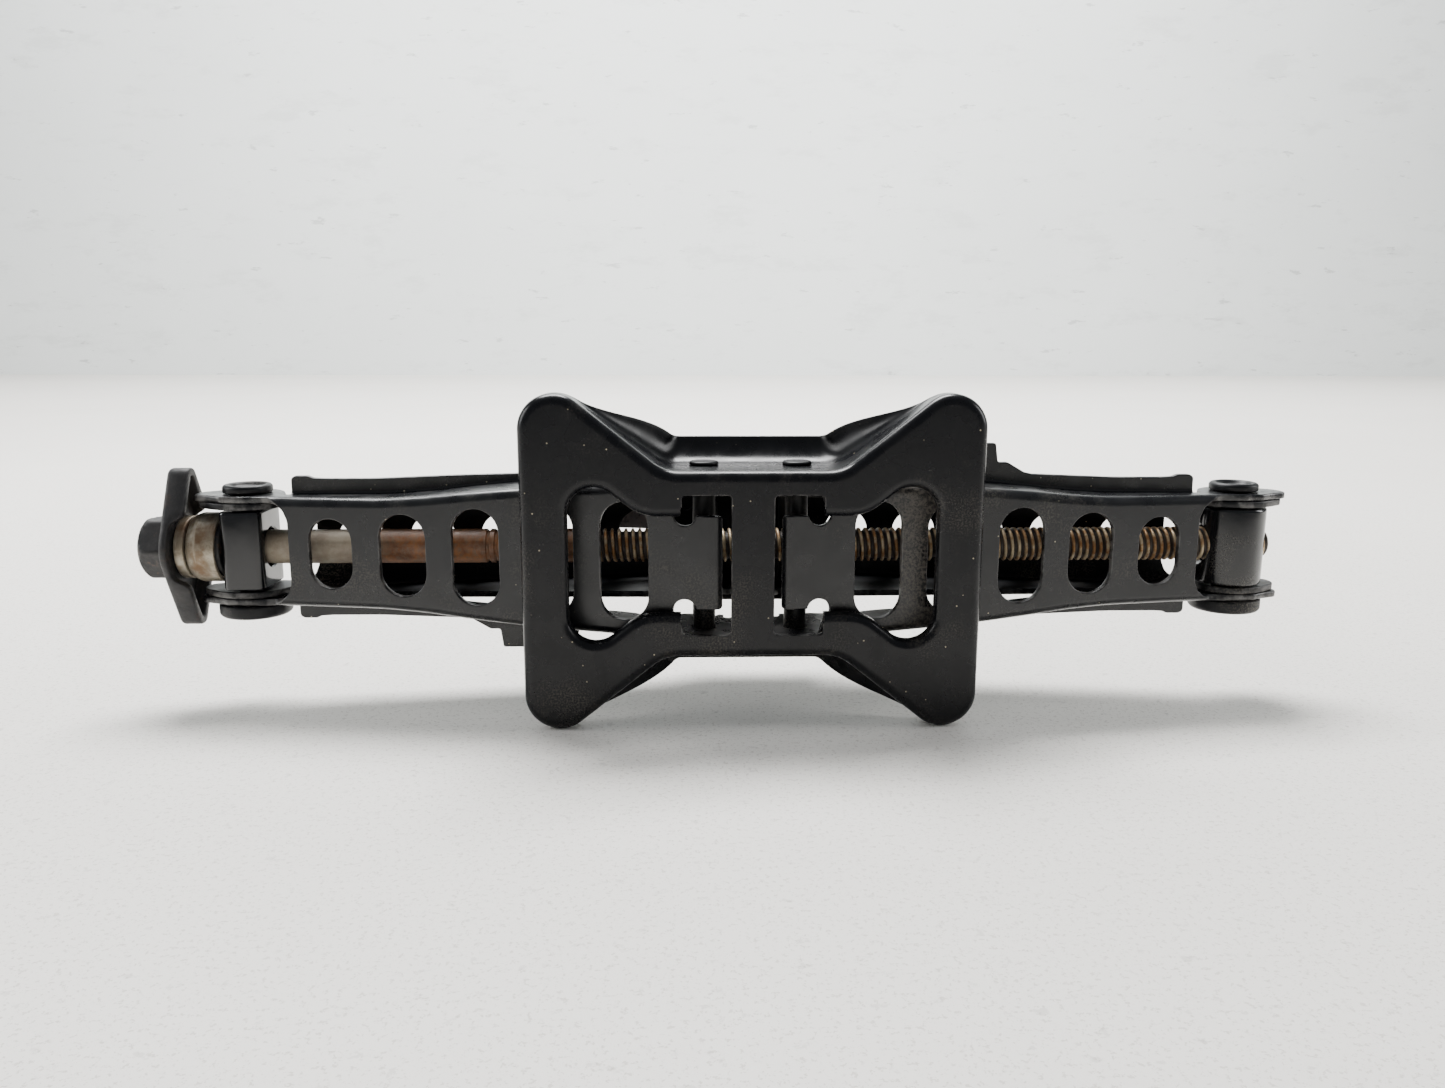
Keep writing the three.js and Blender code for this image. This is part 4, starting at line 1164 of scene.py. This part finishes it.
def pale_wall():
    f = Finish("pale_wall")
    colour = f.mix(f.noise(1.6, 5, 0.6), (0.72, 0.75, 0.74), (0.83, 0.86, 0.85))
    smudge = f.patches((7, 6, 0.75, (0.6, 1, 1.6)), 0.52, 0.66)
    marks = f.patches((30, 4, 0.7, (0.3, 1, 1)), 0.62, 0.68)
    colour = f.mix(f.times(smudge, 0.22), colour, (0.42, 0.43, 0.42))
    colour = f.mix(f.times(marks, 0.4), colour, (0.22, 0.22, 0.22))
    f.bump(f.noise(12, 5, 0.6), 0.1, 0.01)
    return f.set(Base_Color=colour, Roughness=f.patches((4, 3, 0.5), 0, 1, 0.5, 0.7))


# ---- Pieces ----
base_coat = black_coat("base_coat", 0.27, 0.34)
arm_coat = black_coat("arm_coat", 0.30, 0.25, shine=0.45)
dusty_arm_coat = black_coat("dusty_arm_coat", 0.30, 0.3, dirt_band=0.5, shine=0.45)
upper_coat = black_coat("upper_coat", 0.42, 0.5)
gloss_coat = black_coat("gloss_coat", 0.16, 0.4, shine=0.5)
rivet_coat = black_coat("rivet_coat", 0.42, 0.8)
drive_iron = dark_iron("drive_iron", 0.25)
hex_iron = dark_iron("hex_iron", 0.8)
steel, zinc = screw_steel(), worn_zinc()

make("base_skin", base_plate(), "base", "black_coat", base_coat, ["base_plate"])
make("saddle_skin", saddle(), "saddle", "black_coat", upper_coat, ["saddle"])

lower_skin, upper_skin = lower_shape.skin(), upper_shape.skin()
for arm, skin, coat, turn in (
    ("lower_right_arm", lower_skin, dusty_arm_coat, None),
    ("lower_left_arm", lower_skin, arm_coat, half_turn("Y")),
    ("upper_right_arm", upper_skin, upper_coat, half_turn("X", TWIN_Y)),
    ("upper_left_arm", upper_skin, upper_coat, half_turn("Z", TWIN_Y)),
):
    make(arm + "_skin", skin, arm, "black_coat", coat, [arm], turn=turn)

for name, skin, slot, material, node, body, crease in (
    ("lead_screw_skin", lead_screw(), "rusty_steel", steel, "lead_screw", "screw", 50),
    ("bearing_cup_skin", bearing_cup(), "worn_zinc", zinc, "bearing_cup", "screw", 50),
    ("drive_washer_skin", drive_washer(), "worn_zinc", zinc, "drive_washer", "screw", 50),
    ("thrust_race_skin", thrust_race(), "worn_zinc", hex_iron, "thrust_bearing_race", "left_trunnion", 50),
    ("hex_head_skin", hex_head(), "dark_iron", hex_iron, "hex_drive_head", "screw", 24),
    ("drive_plate_skin", drive_plate(), "dark_iron", drive_iron, "drive_plate", "screw", 50),
):
    make(name, skin, body, slot, material, [node], crease=crease)

block = make("trunnion_block_skin", trunnion_block(), "left_trunnion", "black_coat", gloss_coat,
             ["left_trunnion_block"])
cut(block, screw_bore(BLOCK_BORE, -TRUNNION_X - BLOCK_HALF_X, -TRUNNION_X + BLOCK_HALF_X))
nut = make("trunnion_nut_skin", nut_barrel(), "right_trunnion", "black_coat", gloss_coat,
           ["right_trunnion_nut"])
cut(nut, screw_bore(NUT_BORE, TRUNNION_X - 11, TRUNNION_X + 11))
for side, way in (("left", -1), ("right", 1)):
    for which, profile in (("upper", UPPER_RIVET), ("lower", LOWER_RIVET)):
        rivet = turned(profile, 0.7, across=(way * TRUNNION_X, SCREW_Y))
        make(f"{side}_{which}_rivet_skin", rivet, f"{side}_trunnion", "black_coat", rivet_coat,
             [f"{side}_trunnion_{which}_rivet"])
    for part, pivot_y, reach in (("base", BASE_PIVOT_Y, BASE_PIN_REACH),
                                 ("saddle", SADDLE_PIVOT_Y, SADDLE_PIN_REACH)):
        make(f"{part}_{side}_pin_skin", pin(way * PIVOT_X, pivot_y, reach), part, "black_coat",
             rivet_coat, [f"{part}_{side}_pin"])
make("paper_label", label(), "upper_left_arm", "black_coat", label_paper())


# ---- Floor, light and the last lines ----
def stage():
    for name, corners, material in (
        ("floor", [(-6, -6, FLOOR_Z), (6, -6, FLOOR_Z), (6, WALL_Y, FLOOR_Z), (-6, WALL_Y, FLOOR_Z)],
         pale_floor()),
        ("wall", [(-6, WALL_Y, FLOOR_Z), (6, WALL_Y, FLOOR_Z), (6, WALL_Y, 4), (-6, WALL_Y, 4)],
         pale_wall()),
    ):
        mesh = bpy.data.meshes.new(name)
        mesh.from_pydata(corners, [], [(0, 1, 2, 3)])
        mesh.materials.append(material)
        piece = bpy.data.objects.new(name, mesh)
        bpy.context.scene.collection.objects.link(piece)


def area_light(name, place, aim, width, height, power, colour=(1, 1, 1)):
    data = bpy.data.lights.new(name, "AREA")
    data.shape = "RECTANGLE"
    data.size, data.size_y, data.energy, data.color = width, height, power, colour
    light = bpy.data.objects.new(name, data)
    bpy.context.scene.collection.objects.link(light)
    light.location = place
    light.rotation_euler = (Vector(aim) - Vector(place)).to_track_quat("-Z", "Y").to_euler()


def studio():
    world = bpy.data.worlds.new("studio")
    bpy.context.scene.world = world
    world.use_nodes = True
    sky = world.node_tree.nodes["Background"]
    sky.inputs["Color"].default_value = (0.9, 0.95, 1.0, 1)
    sky.inputs["Strength"].default_value = 0.28
    area_light("overhead", (-0.2, 0.7, 1.4), (0, 0.05, 0), 1.1, 0.55, 72)
    area_light("left_window", (-1.3, 0.0, 0.5), (0, 0.03, 0), 0.4, 0.7, 9)
    area_light("right_window", (1.3, 0.0, 0.5), (0, 0.03, 0), 0.35, 0.7, 8)
    area_light("wall_wash", (0, 1.4, 1.9), (0, WALL_Y, 0.5), 4.0, 1.0, 210)


stage()
studio()
